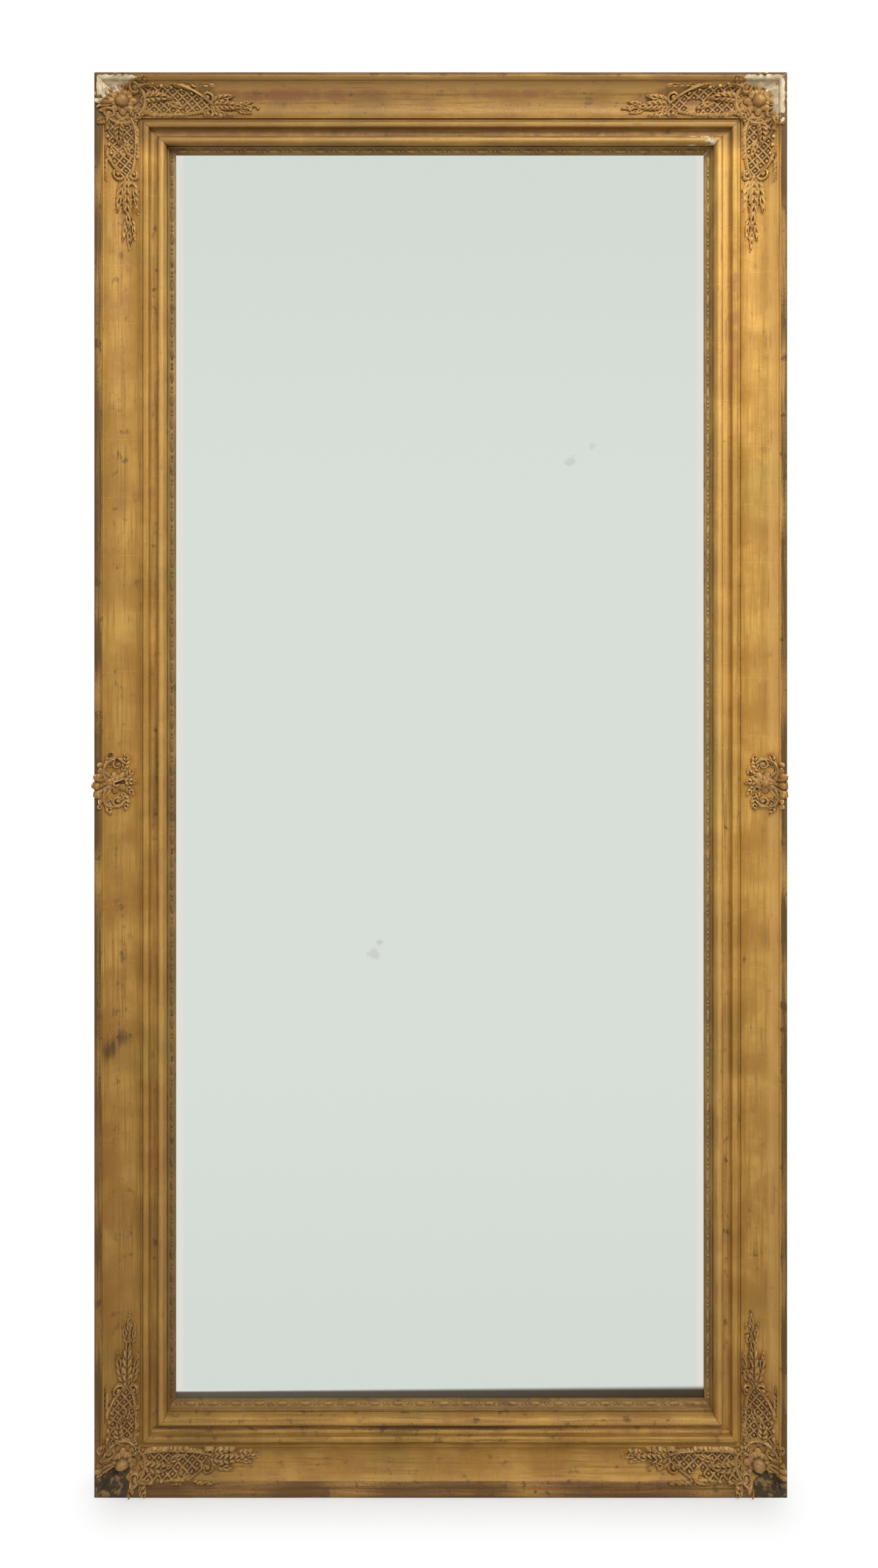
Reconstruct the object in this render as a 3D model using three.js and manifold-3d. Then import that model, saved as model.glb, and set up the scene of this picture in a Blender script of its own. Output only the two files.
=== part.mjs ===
// A tall giltwood pier mirror of the nineteenth century, 900 mm wide and 1850 mm high.
//
// It is built from the wall forward: nine pine backboards over a bridle-jointed pine carcass, a silvered
// plate held in the carcass rebate by glued blocks, then three mitred mouldings round the plate: a hollow
// sight slip, an inner moulding (bead, hollow and fillet) and a wide cove that rises to a rounded lip.
// Pressed composition ornament lies in the cove: a rosette with two trailing sprays at each corner, and a
// double shell halfway up each stile. Two iron straps on the back carry the hanging rings, which swing in
// their knuckles.
//
// Frame: millimetres, +Z up, -Y to the room, and the wall at y = 0. The origin is the middle of the wall
// face.
import * as THREE from "three";
import { mergeVertices } from "three/addons/utils/BufferGeometryUtils.js";
import Module from "manifold-3d";

const wasm = await Module();
wasm.setup();

// ---------------------------------------------------------------- driving dimensions, in millimetres
const frameWidth = 900; // over the outer sides of the cove moulding
const frameHeight = 1850;
const gap = 0.3; // between two pieces that touch
const mitreGap = 0.3; // between two mitred lengths

// sight slip: a small hollow next to the plate
const slipWidth = 9;
const slipEdge = 3; // its height at the plate
const slipTop = 13;
const slipFlat = 1.6; // the flat along its top

// inner moulding: bead, hollow, fillet
const beadRadius = 5.45;
const beadCentre = 22; // heights are above the back of the mouldings
const hollowRadius = 5;
const hollowFloor = 20;
const filletWidth = 8;
const filletTop = 31;

// cove moulding: quirk, cove of two arcs, rounded lip, stepped outer side
const quirkWidth = 3.5;
const quirkFloor = 26.5;
const coveInnerTop = 30.5;
const coveInnerRun = 14; // from its inner edge to its lowest line
const coveFloor = 25.5;
const coveOuterRun = 31; // from its lowest line to the lip
const coveOuterTop = 40;
const lipRadius = 5.25;
const lipCentre = 41.75;
const sideStep = 2; // how far the lower outer side is set in
const sideStepTop = 30;

// back of the frame
const plateThickness = 4;
const plateLap = 8; // the plate runs this far under the slip
const rebateClearance = 2; // round the plate's edge
const carcassThickness = 17.4;
const carcassSetback = 2; // in from the moulding's outer side
const tenonThickness = 6;
const boardThickness = 12;
const boardCount = 9;
const boardLap = 38; // over the carcass, past the rebate
const boardChamfer = 1.5;
const blockLength = 60;
const blocksPerStile = 3;

// hangers
const strapWidth = 20;
const strapLength = 80; // below the ring's axis
const strapThickness = 2;
const knuckleRadius = 5;
const wireRadius = 2;
const wireClearance = 0.35;
const ringHalfWidth = 17; // to the middle of the wire
const ringLeg = 8; // straight part of each side
const ringBend = 4; // corner radius at the bar
const hangerHeight = 560; // of the ring's axis above the middle
const screwHeadRadius = 4;
const screwShankRadius = 1.6;
const screwLength = 14;
const screwSlot = 0.9;
const firstScrew = 36; // below the ring's axis
const lastScrew = 14; // above the strap's lower end

// ornament
const seatDepth = 10; // how far the corner and side pieces run in before the face cuts them
const cornerReach = 62; // of the rosette, inwards from the outer corner along each side
const railSprayLength = 153;
const stileSprayLength = 172;
const sprayBody = 84; // how far its scrolls and diaper run, before the leaves trail off
const sprayDrift = 9; // how far its trail bends to the cove's inner side
const sprayLift = 0.3; // its seat on the cove
const scrollWidth = 7.5;
const scrollHeight = 5.5;
const longLeafWidth = 17;
const longLeafHeight = 7;
const sideLeafWidth = 13;
const sideLeafHeight = 5.8;
const edgeLeafWidth = 10;
const edgeLeafHeight = 5;
const bossRadius = 8.5;
const bossFromLip = 34; // from the outer side to the middle of the rosette, along both sides
const petalCount = 7;
const petalLength = 25;
const petalWidth = 12;
const petalHeight = 5.5;
const latticePitch = 15;
const latticeBar = 2.4;
const latticeHeight = 2.6;
const middleShellLength = 42; // from its boss to each tip
const middleShellRibs = 5;
const middleRibWidth = 10;
const middleRibSpread = 0.3; // radians between two ribs
const middleRibStep = 8; // each rib away from the middle one is this much shorter
const middleInnerLeaf = 13; // width of the leaf to the cove's inner edge
const middleOuterLeaf = 15; // width of the leaf over the lip
const middleOuterRise = 8;
const middleBossRadius = 6.5;
const middleFromLip = 27; // from the outer side to its boss
const leftShellOverhang = 3; // the left shell is set this much further out

// ---------------------------------------------------------------- places that follow from them
const carcassBack = -boardThickness - gap;
const carcassFront = carcassBack - carcassThickness;
const mouldingBack = carcassFront - gap; // the plane that heights are measured from
const plateFront = mouldingBack + gap;

const innerStart = slipWidth + gap;
const hollowStart = innerStart + 2 * beadRadius;
const filletStart = hollowStart + 2 * hollowRadius;
const innerEnd = filletStart + filletWidth;
const coveStart = innerEnd + gap;
const coveInnerEdge = coveStart + quirkWidth;
const coveLowest = coveInnerEdge + coveInnerRun;
const coveOuterEdge = coveLowest + coveOuterRun;
const mouldingWidth = coveOuterEdge + 1 + 2 * lipRadius;
const lipMiddle = mouldingWidth - lipRadius;

const halfWidth = frameWidth / 2;
const halfHeight = frameHeight / 2;
const sightX = halfWidth - mouldingWidth;
const sightZ = halfHeight - mouldingWidth;
const rebateX = sightX + plateLap + rebateClearance;
const rebateZ = sightZ + plateLap + rebateClearance;
const carcassX = halfWidth - carcassSetback;
const carcassZ = halfHeight - carcassSetback;
const boardsX = rebateX + boardLap;
const boardsZ = rebateZ + boardLap;

// The two arcs of the cove meet level at its lowest line.
const arcRadius = (run, rise) => (run * run + rise * rise) / (2 * rise);
const innerArc = arcRadius(coveInnerRun, coveInnerTop - coveFloor);
const outerArc = arcRadius(coveOuterRun, coveOuterTop - coveFloor);
const innerSweep = Math.asin(coveInnerRun / innerArc);
const outerSweep = Math.asin(coveOuterRun / outerArc);
const innerArcLength = innerArc * innerSweep;
const coveGirth = innerArcLength + outerArc * outerSweep;

// ---------------------------------------------------------------- materials
const finish = (color, roughness, metalness) =>
  new THREE.MeshStandardMaterial({ color, roughness, metalness });
const gilding = () => finish(0xb58a48, 0.45, 0.7);
const darkGilding = () => finish(0x8a6b3d, 0.55, 0.5);
const silvering = () => finish(0xd7ddd5, 0.05, 1);
const pine = () => finish(0xa57f56, 0.85, 0);
const agedPine = () => finish(0x7d5c3c, 0.9, 0);
const iron = () => finish(0x4a4440, 0.6, 0.8);

// ---------------------------------------------------------------- solids
function solidOf(geometry) {
  const bare = geometry.clone();
  bare.deleteAttribute("normal");
  bare.deleteAttribute("uv");
  const merged = mergeVertices(bare, 1e-4);
  return new wasm.Manifold(
    new wasm.Mesh({
      numProp: 3,
      vertProperties: merged.attributes.position.array,
      triVerts: new Uint32Array(merged.index.array),
    }),
  );
}

function geometryOf(solid) {
  const made = solid.getMesh();
  const geometry = new THREE.BufferGeometry();
  geometry.setAttribute("position", new THREE.BufferAttribute(made.vertProperties, 3));
  geometry.setIndex(new THREE.BufferAttribute(made.triVerts, 1));
  geometry.computeVertexNormals();
  return geometry;
}

const joined = (geometries) => geometries.map(solidOf).reduce((sum, one) => sum.add(one));

function volumeOf(positions, index) {
  let six = 0;
  const corner = [new THREE.Vector3(), new THREE.Vector3(), new THREE.Vector3()];
  for (let i = 0; i < index.length; i += 3) {
    corner.forEach((point, k) => point.fromArray(positions, 3 * index[i + k]));
    six += corner[0].dot(corner[1].cross(corner[2]));
  }
  return six / 6;
}

// A closed body through rings of points, capped at both ends unless it runs round in a loop.
function loft(rings, loop = false) {
  const sides = rings[0].length;
  const positions = rings.flat().flatMap((point) => point.toArray());
  const index = [];
  const at = (ring, side) => (ring % rings.length) * sides + (side % sides);
  for (let ring = 0; ring < rings.length - (loop ? 0 : 1); ring++) {
    for (let side = 0; side < sides; side++) {
      index.push(at(ring, side), at(ring + 1, side), at(ring + 1, side + 1));
      index.push(at(ring, side), at(ring + 1, side + 1), at(ring, side + 1));
    }
  }
  for (let side = 1; !loop && side < sides - 1; side++) {
    index.push(at(0, 0), at(0, side), at(0, side + 1));
    index.push(at(rings.length - 1, 0), at(rings.length - 1, side + 1), at(rings.length - 1, side));
  }
  if (volumeOf(positions, index) < 0) index.reverse();
  const geometry = new THREE.BufferGeometry();
  geometry.setAttribute("position", new THREE.Float32BufferAttribute(positions, 3));
  geometry.setIndex(index);
  geometry.computeVertexNormals();
  return geometry;
}

function box(fromX, toX, fromY, toY, fromZ, toZ) {
  const geometry = new THREE.BoxGeometry(toX - fromX, toY - fromY, toZ - fromZ);
  return geometry.translate((fromX + toX) / 2, (fromY + toY) / 2, (fromZ + toZ) / 2);
}

// ---------------------------------------------------------------- moulding outlines
// Across the moulding: u is measured outwards from the sight edge, v forwards from the mouldings' back.
function slipOutline() {
  const shape = new THREE.Shape();
  shape.moveTo(0, 0);
  shape.lineTo(slipWidth, 0);
  shape.lineTo(slipWidth, slipTop);
  shape.lineTo(slipWidth - slipFlat, slipTop);
  shape.quadraticCurveTo(slipWidth - slipFlat, slipEdge + 1, 0, slipEdge);
  return shape;
}

function innerOutline() {
  const beadMiddle = innerStart + beadRadius;
  const beadEnd = Math.asin((hollowFloor - beadCentre) / beadRadius);
  const shape = new THREE.Shape();
  shape.moveTo(innerStart, 0);
  shape.lineTo(innerEnd, 0);
  shape.lineTo(innerEnd, filletTop);
  shape.lineTo(filletStart, filletTop);
  shape.absarc(filletStart - hollowRadius, hollowFloor + hollowRadius, hollowRadius, 0, -Math.PI / 2, true);
  shape.absarc(beadMiddle, beadCentre, beadRadius, beadEnd, Math.PI, false);
  return shape;
}

function coveOutline() {
  const side = mouldingWidth - sideStep;
  const shape = new THREE.Shape();
  shape.moveTo(coveStart, 0);
  shape.lineTo(side, 0);
  shape.lineTo(side, sideStepTop);
  shape.quadraticCurveTo(side, sideStepTop + 2 * sideStep, mouldingWidth, sideStepTop + 2 * sideStep);
  shape.absarc(lipMiddle, lipCentre, lipRadius, 0, Math.PI, false);
  shape.lineTo(lipMiddle - lipRadius, coveOuterTop);
  shape.absarc(coveLowest, coveFloor + outerArc, outerArc, outerSweep - Math.PI / 2, -Math.PI / 2, true);
  shape.absarc(coveLowest, coveFloor + innerArc, innerArc, -Math.PI / 2, -innerSweep - Math.PI / 2, true);
  shape.lineTo(coveInnerEdge, quirkFloor);
  shape.lineTo(coveStart, quirkFloor);
  return shape;
}

// A length with a mitre at each end. It runs along X, its outline faces -Y, and u grows along +Z.
function mitredLength(outline, halfAlong, halfAcross, segments, ease = mitreGap / Math.SQRT2) {
  const options = { depth: 1, steps: 1, bevelEnabled: false, curveSegments: segments };
  const geometry = new THREE.ExtrudeGeometry(outline, options);
  const place = geometry.getAttribute("position");
  for (let i = 0; i < place.count; i++) {
    const u = place.getX(i);
    const end = place.getZ(i) > 0.5 ? 1 : -1;
    place.setXYZ(i, end * (halfAlong + u - ease), mouldingBack - place.getY(i), halfAcross + u);
  }
  geometry.computeVertexNormals();
  return geometry;
}

// The same turn carries a piece from the top rail to each of the four sides.
const sides = [
  { name: "top", member: "top_rail", turn: 0, along: sightX, across: sightZ },
  { name: "right", member: "right_stile", turn: Math.PI / 2, along: sightZ, across: sightX },
  { name: "bottom", member: "bottom_rail", turn: Math.PI, along: sightX, across: sightZ },
  { name: "left", member: "left_stile", turn: -Math.PI / 2, along: sightZ, across: sightX },
];

// ---------------------------------------------------------------- ornament
// Height of the cove moulding's face at u, from its lowest line out over the lip.
function faceHeight(u) {
  if (u > coveOuterEdge) {
    const off = Math.min(Math.abs(u - lipMiddle), lipRadius);
    return lipCentre + Math.sqrt(lipRadius * lipRadius - off * off);
  }
  const radius = u < coveLowest ? innerArc : outerArc;
  const off = Math.max(u - coveLowest, -coveInnerRun);
  return coveFloor + radius - Math.sqrt(radius * radius - off * off);
}

// A point on the cove: along the rail from the spray's root, girth across from the inner edge, lift off it.
function onCove(along, girth, lift) {
  const inner = girth < innerArcLength;
  const radius = inner ? innerArc : outerArc;
  const turn = (girth - innerArcLength) / radius;
  const u = coveLowest + (radius - lift) * Math.sin(turn);
  const v = coveFloor + radius - (radius - lift) * Math.cos(turn);
  return new THREE.Vector3(mouldingWidth - cornerReach - gap - along, mouldingBack - v, u);
}

// A point near a corner: x and z outwards from the sight corner, lift straight off the face there.
const onCorner = (x, z, lift) => new THREE.Vector3(x, mouldingBack - faceHeight(Math.max(x, z)) - lift, z);

// A point on a straight side: along it from the shell's boss, u outwards from the sight edge.
const onSide = (along, u, lift) => new THREE.Vector3(along, mouldingBack - faceHeight(u) - lift, u);

// A ridge of relief over a bent centre line: widths and heights follow shape(k), k from 0 at its root to 1.
// base is where its foot lies above the face, or below it for a piece that the face then cuts.
function ridge(place, root, bend, tip, width, height, base, steps, shape) {
  const line = new THREE.QuadraticBezierCurve(root, bend, tip);
  const rings = [];
  for (let step = 0; step <= steps; step++) {
    const k = step / steps;
    const middle = line.getPoint(k);
    const across = line.getTangent(k);
    const half = (width / 2) * shape(k);
    const rise = height * shape(k);
    const point = (share, lift) =>
      place(middle.x - across.y * half * share, middle.y + across.x * half * share, lift);
    const crest = point(0, rise);
    const shoulders = base < 0 ? [point(-1, 0.4 * rise), crest, point(1, 0.4 * rise)] : [crest];
    rings.push([point(-1, base), ...shoulders, point(1, base)]);
  }
  return loft(rings);
}

const leafShape = (k) => 0.12 + 0.88 * Math.sin(Math.PI * Math.pow(0.12 + 0.88 * k, 1.25)) * (1 - 0.15 * k);
const scrollShape = (k) => 0.35 + 0.65 * Math.sin(Math.PI * (0.15 + 0.8 * k));
const evenShape = () => 1;
const flat = (x, y) => new THREE.Vector2(x, y);

// The spray that trails from a corner: two bordering scrolls, a diaper of bars between them, a leaf that
// breaks over a border, and a long leaf with a leaf to each side of it at the end. The trail bends inwards.
function spray(length) {
  const body = sprayBody;
  const drift = (along) => sprayDrift * THREE.MathUtils.smoothstep(along, body * 0.3, body * 1.3);
  const bent = (along, across, lift) => onCove(along, across - drift(along), lift);
  // a place on the body, and one on the trail; both take shares of the length and of the cove's girth
  const at = (share, side) => flat(body * share, coveGirth * side);
  const past = (share, side) => flat(body + (length - body) * share, coveGirth * side);
  const leaf = (root, bend, tip, width, height, steps) =>
    ridge(bent, root, bend, tip, width, height, sprayLift, steps, leafShape);
  const border = (root, bend, tip) =>
    ridge(bent, root, bend, tip, scrollWidth, scrollHeight, sprayLift, 5, scrollShape);
  const pieces = [
    border(at(0, 0.2), at(0.5, -0.06), at(1, 0.44)),
    border(at(0, 0.8), at(0.5, 1.04), at(1, 0.58)),
    leaf(at(0.86, 0.52), past(0.4, 0.62), past(1, 0.5), longLeafWidth, longLeafHeight, 4),
    leaf(at(0.9, 0.6), past(0.2, 0.8), past(0.5, 0.9), sideLeafWidth, sideLeafHeight, 3),
    leaf(at(0.9, 0.44), past(0.2, 0.32), past(0.5, 0.26), sideLeafWidth, sideLeafHeight, 3),
    leaf(at(0.2, 0.62), at(0.34, 0.7), at(0.86, 0.68), edgeLeafWidth, edgeLeafHeight, 3),
  ];
  const bars = Math.floor((body * 0.7) / latticePitch);
  for (let bar = 0; bar < bars; bar++) {
    const from = flat((bar + 0.2) * latticePitch, coveGirth * 0.14);
    const to = flat(from.x + coveGirth * 0.6, coveGirth * 0.84);
    const middle = from.clone().lerp(to, 0.5);
    pieces.push(ridge(bent, from, middle, to, latticeBar, latticeHeight, sprayLift, 2, evenShape));
  }
  return geometryOf(joined(pieces));
}

// What the corner and side ornaments are cut by, so that they seat on the moulding with the gap between.
function seatTool(lengths) {
  const face = coveOutline()
    .extractPoints(6)
    .shape.filter((point, i, all) => point.distanceTo(all[(i + 1) % all.length]) > 1e-3);
  const outline = face.map((point, i) => {
    const before = face[(i + face.length - 1) % face.length];
    const after = face[(i + 1) % face.length];
    const into = point.clone().sub(before).normalize();
    const out = after.clone().sub(point).normalize();
    const normal = flat(into.y + out.y, -into.x - out.x).normalize();
    const reach = gap / Math.max(0.4, normal.dot(flat(into.y, -into.x)));
    return point.clone().addScaledVector(normal, reach);
  });
  return joined(lengths.map((make) => make(new THREE.Shape(outline))));
}

// A rosette on the mitre: petals round a ball. Those that point outwards end at the lip.
function cornerRosette() {
  const middle = mouldingWidth - bossFromLip;
  const polar = (angle, reach) => flat(middle + reach * Math.cos(angle), middle + reach * Math.sin(angle));
  const boss = new THREE.SphereGeometry(bossRadius, 10, 6);
  const seat = onCorner(middle, middle, petalHeight * 0.5);
  const pieces = [boss.translate(seat.x, seat.y, seat.z)];
  for (let petal = 0; petal < petalCount; petal++) {
    const angle = ((petal + 0.5) * 2 * Math.PI) / petalCount + Math.PI / 4;
    const outwards = Math.max(Math.cos(angle), Math.sin(angle));
    const reach = outwards > 0 ? Math.min(petalLength, (coveOuterEdge - middle) / outwards) : petalLength;
    const root = polar(angle, bossRadius * 0.7);
    const bend = polar(angle + 0.12, reach * 0.6);
    const tip = polar(angle, reach);
    pieces.push(ridge(onCorner, root, bend, tip, petalWidth, petalHeight, -seatDepth, 3, leafShape));
  }
  const reach = mouldingWidth - cornerReach;
  const block = solidOf(box(reach, mouldingWidth + 1, -2 * frameWidth, 0, reach, mouldingWidth + 1));
  const across = (outline) => mitredLength(outline, 0, 0, 1, -gap);
  const down = (outline) => across(outline).rotateY(Math.PI / 2);
  return geometryOf(joined(pieces).subtract(seatTool([across, down])).intersect(block));
}

// A double shell across the cove, with a boss in its middle and a short leaf to each edge.
function sideShell(overhang) {
  const middle = mouldingWidth - middleFromLip + overhang;
  const polar = (angle, reach) => flat(reach * Math.cos(angle), middle + reach * Math.sin(angle));
  const boss = new THREE.SphereGeometry(middleBossRadius, 10, 7);
  const seat = onSide(0, middle, petalHeight * 0.4);
  const pieces = [boss.translate(seat.x, seat.y, seat.z)];
  for (const end of [0, Math.PI]) {
    for (let rib = 0; rib < middleShellRibs; rib++) {
      const off = rib - (middleShellRibs - 1) / 2;
      const angle = end + off * middleRibSpread;
      const tip = polar(angle, middleShellLength - Math.abs(off) * middleRibStep);
      const bend = polar(angle, middleShellLength / 2);
      pieces.push(
        ridge(onSide, polar(angle, 2), bend, tip, middleRibWidth, petalHeight, -seatDepth, 3, leafShape),
      );
    }
  }
  const innerTip = coveInnerEdge + 3;
  const outerTip = mouldingWidth + overhang;
  const inwards = flat(2, (middle + innerTip) / 2);
  const outwards = flat(-2, (middle + outerTip) / 2);
  const root = flat(0, middle);
  pieces.push(
    ridge(onSide, root, inwards, flat(0, innerTip), middleInnerLeaf, petalHeight, -seatDepth, 3, leafShape),
    ridge(
      onSide, root, outwards, flat(0, outerTip), middleOuterLeaf, middleOuterRise, -seatDepth, 5, scrollShape,
    ),
  );
  const length = (outline) => mitredLength(outline, middleShellLength, 0, 1);
  return geometryOf(joined(pieces).subtract(seatTool([length])));
}

// ---------------------------------------------------------------- assembly
const mirror = new THREE.Group();

function add(parent, name, geometry, material) {
  const mesh = new THREE.Mesh(geometry, material);
  mesh.name = name;
  parent.add(mesh);
  return mesh;
}

// the three mitred mouldings, side by side
for (const side of sides) {
  const group = new THREE.Group();
  group.rotation.y = side.turn;
  mirror.add(group);
  const length = (outline, mitreSteps) => mitredLength(outline, side.along, side.across, mitreSteps);
  add(group, "sight_slip_" + side.name, length(slipOutline(), 5), darkGilding());
  add(group, "inner_moulding_" + side.name, length(innerOutline(), 8), gilding());
  add(group, "cove_moulding_" + side.member, length(coveOutline(), 7), gilding());
}

// composition ornament: one casting of each kind, mirrored from corner to corner
const railSpray = spray(railSprayLength);
const stileSpray = spray(stileSprayLength);
const rosetteGeometry = cornerRosette();
const acrossTheMitre = new THREE.Matrix4().set(0, 0, 1, 0, 0, 1, 0, 0, 1, 0, 0, 0, 0, 0, 0, 1);
for (const [level, up] of [["top", 1], ["bottom", -1]]) {
  for (const [hand, out] of [["left", -1], ["right", 1]]) {
    const corner = new THREE.Group();
    corner.position.set(out * sightX, 0, up * sightZ);
    corner.scale.set(out, 1, up);
    mirror.add(corner);
    const name = level + "_" + hand;
    add(corner, "rosette_" + name, rosetteGeometry, gilding());
    add(corner, "rail_spray_" + name, railSpray, gilding());
    add(corner, "stile_spray_" + name, stileSpray, gilding()).applyMatrix4(acrossTheMitre);
  }
}
for (const side of sides.filter((one) => one.member.endsWith("stile"))) {
  const group = new THREE.Group();
  group.rotation.y = side.turn;
  mirror.add(group);
  const shell = sideShell(side.name === "left" ? leftShellOverhang : 0);
  add(group, "side_shell_" + side.name, shell, gilding()).position.z = side.across;
}

// the plate, in the rebate behind the slip
add(
  mirror,
  "mirror_plate",
  box(-sightX - plateLap, sightX + plateLap, plateFront, plateFront + plateThickness, -sightZ - plateLap,
    sightZ + plateLap),
  silvering(),
);

// the carcass: each rail's tenon runs through an open mortise in the end of each stile
const tenonY = (carcassFront + carcassBack) / 2;
const screwHoles = [hangerHeight - firstScrew, hangerHeight - strapLength + lastScrew];
const hangerX = (boardsX + carcassX) / 2;

function carcassRail() {
  const tenonHalf = tenonThickness / 2;
  const body = box(-rebateX + gap, rebateX - gap, carcassFront, carcassBack, rebateZ, carcassZ);
  const tenon = box(-carcassX, carcassX, tenonY - tenonHalf, tenonY + tenonHalf, rebateZ, carcassZ);
  return geometryOf(joined([body, tenon]));
}

function carcassStile() {
  const mortiseHalf = tenonThickness / 2 + gap;
  const outside = gap + carcassX;
  let stile = solidOf(box(rebateX, carcassX, carcassFront, carcassBack, -carcassZ, carcassZ));
  for (const end of [-1, 1]) {
    const from = end * (rebateZ - gap);
    const to = end * (carcassZ + gap);
    const [low, high] = [Math.min(from, to), Math.max(from, to)];
    stile = stile.subtract(solidOf(box(0, outside, tenonY - mortiseHalf, tenonY + mortiseHalf, low, high)));
  }
  for (const height of screwHoles) {
    const depth = screwLength + gap;
    const bore = new THREE.CylinderGeometry(screwShankRadius + gap, screwShankRadius + gap, 2 * depth, 10);
    stile = stile.subtract(solidOf(bore.translate(hangerX, carcassBack, height)));
  }
  return stile;
}

add(mirror, "carcass_rail_top", carcassRail(), pine());
add(mirror, "carcass_rail_bottom", carcassRail(), pine()).scale.z = -1;
add(mirror, "carcass_stile_right", geometryOf(carcassStile()), pine());
add(mirror, "carcass_stile_left", geometryOf(carcassStile()), pine()).scale.x = -1;

// glued blocks in the rebate, between the back of the plate and the boards
const blockFront = plateFront + plateThickness + gap;
const blockDepth = carcassBack - blockFront;
function block(length) {
  const shape = new THREE.Shape([flat(0, 0), flat(blockDepth, 0), flat(0, blockDepth)]);
  const geometry = new THREE.ExtrudeGeometry(shape, { depth: length, steps: 1, bevelEnabled: false });
  // across the rebate to -Z, back to +Y, and along X
  const turn = new THREE.Matrix4().makeBasis(
    new THREE.Vector3(0, 0, -1),
    new THREE.Vector3(0, 1, 0),
    new THREE.Vector3(1, 0, 0),
  );
  return geometry.translate(0, 0, -length / 2).applyMatrix4(turn);
}
for (const side of sides) {
  const group = new THREE.Group();
  group.rotation.y = side.turn;
  mirror.add(group);
  const count = side.member.endsWith("stile") ? blocksPerStile : 1;
  const inside = side.across + plateLap + rebateClearance - gap;
  for (let one = 0; one < count; one++) {
    const name = "plate_block_" + side.name + (count > 1 ? "_" + (one + 1) : "");
    const mesh = add(group, name, block(blockLength), agedPine());
    mesh.position.set(((one - (count - 1) / 2) * 2 * side.along) / (count + 0.5), blockFront, inside);
  }
}

// backboards, nailed over the rebate
const boardPitch = (2 * boardsZ) / boardCount;
function board() {
  const half = (boardPitch - gap) / 2;
  const shape = new THREE.Shape([
    flat(-half, -boardThickness),
    flat(half, -boardThickness),
    flat(half, -boardChamfer),
    flat(half - boardChamfer, 0),
    flat(boardChamfer - half, 0),
    flat(-half, -boardChamfer),
  ]);
  const geometry = new THREE.ExtrudeGeometry(shape, { depth: 2 * boardsX, steps: 1, bevelEnabled: false });
  const turn = new THREE.Matrix4().makeBasis(
    new THREE.Vector3(0, 0, 1),
    new THREE.Vector3(0, 1, 0),
    new THREE.Vector3(-1, 0, 0),
  );
  return geometry.translate(0, 0, -boardsX).applyMatrix4(turn);
}
for (let row = 0; row < boardCount; row++) {
  const mesh = add(mirror, "backboard_" + (row + 1), board(), agedPine());
  mesh.position.z = boardsZ - (row + 0.5) * boardPitch;
}

// ---------------------------------------------------------------- hangers
const strapFront = carcassBack + gap;
const strapBack = strapFront + strapThickness;
const axisY = strapFront + knuckleRadius;

// The strap's long section: a flat leg that rolls into a knuckle round the ring's bar.
function strap() {
  const shape = new THREE.Shape();
  shape.moveTo(strapBack, -strapLength);
  shape.lineTo(strapBack, -Math.sqrt(knuckleRadius ** 2 - (strapBack - axisY) ** 2));
  const start = Math.atan2(-Math.sqrt(knuckleRadius ** 2 - (strapBack - axisY) ** 2), strapBack - axisY);
  shape.absarc(axisY, 0, knuckleRadius, start, Math.PI, false);
  shape.lineTo(strapFront, -strapLength);
  const bore = new THREE.Path();
  bore.absarc(axisY, 0, wireRadius + wireClearance, 0, 2 * Math.PI, true);
  shape.holes.push(bore);
  const options = { depth: strapWidth, steps: 1, bevelEnabled: false, curveSegments: 10 };
  const geometry = new THREE.ExtrudeGeometry(shape, options).translate(0, 0, -strapWidth / 2);
  const turn = new THREE.Matrix4().makeBasis(
    new THREE.Vector3(0, 1, 0),
    new THREE.Vector3(0, 0, 1),
    new THREE.Vector3(1, 0, 0),
  );
  let made = solidOf(geometry.applyMatrix4(turn));
  for (const height of screwHoles) {
    made = made.subtract(solidOf(screwBody(gap).translate(0, strapBack, height - hangerHeight)));
  }
  return geometryOf(made);
}

// A countersunk screw with its head flush in the strap. It points to -Y; grow makes the hole it sits in.
function screwBody(grow) {
  const head = screwHeadRadius + grow;
  const shank = screwShankRadius + grow;
  const profile = [
    flat(0, -screwLength - grow),
    flat(shank * 0.7, -screwLength + 2 - grow),
    flat(shank, -screwLength / 2),
    flat(shank, -strapThickness - grow),
    flat(head, -grow),
    flat(head, grow),
    flat(0, grow),
  ];
  return new THREE.LatheGeometry(profile, 10);
}

function screw() {
  const slot = box(-screwHeadRadius - 1, screwHeadRadius + 1, -screwSlot, 1, -screwSlot / 2, screwSlot / 2);
  return geometryOf(solidOf(screwBody(0)).subtract(solidOf(slot)));
}

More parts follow.
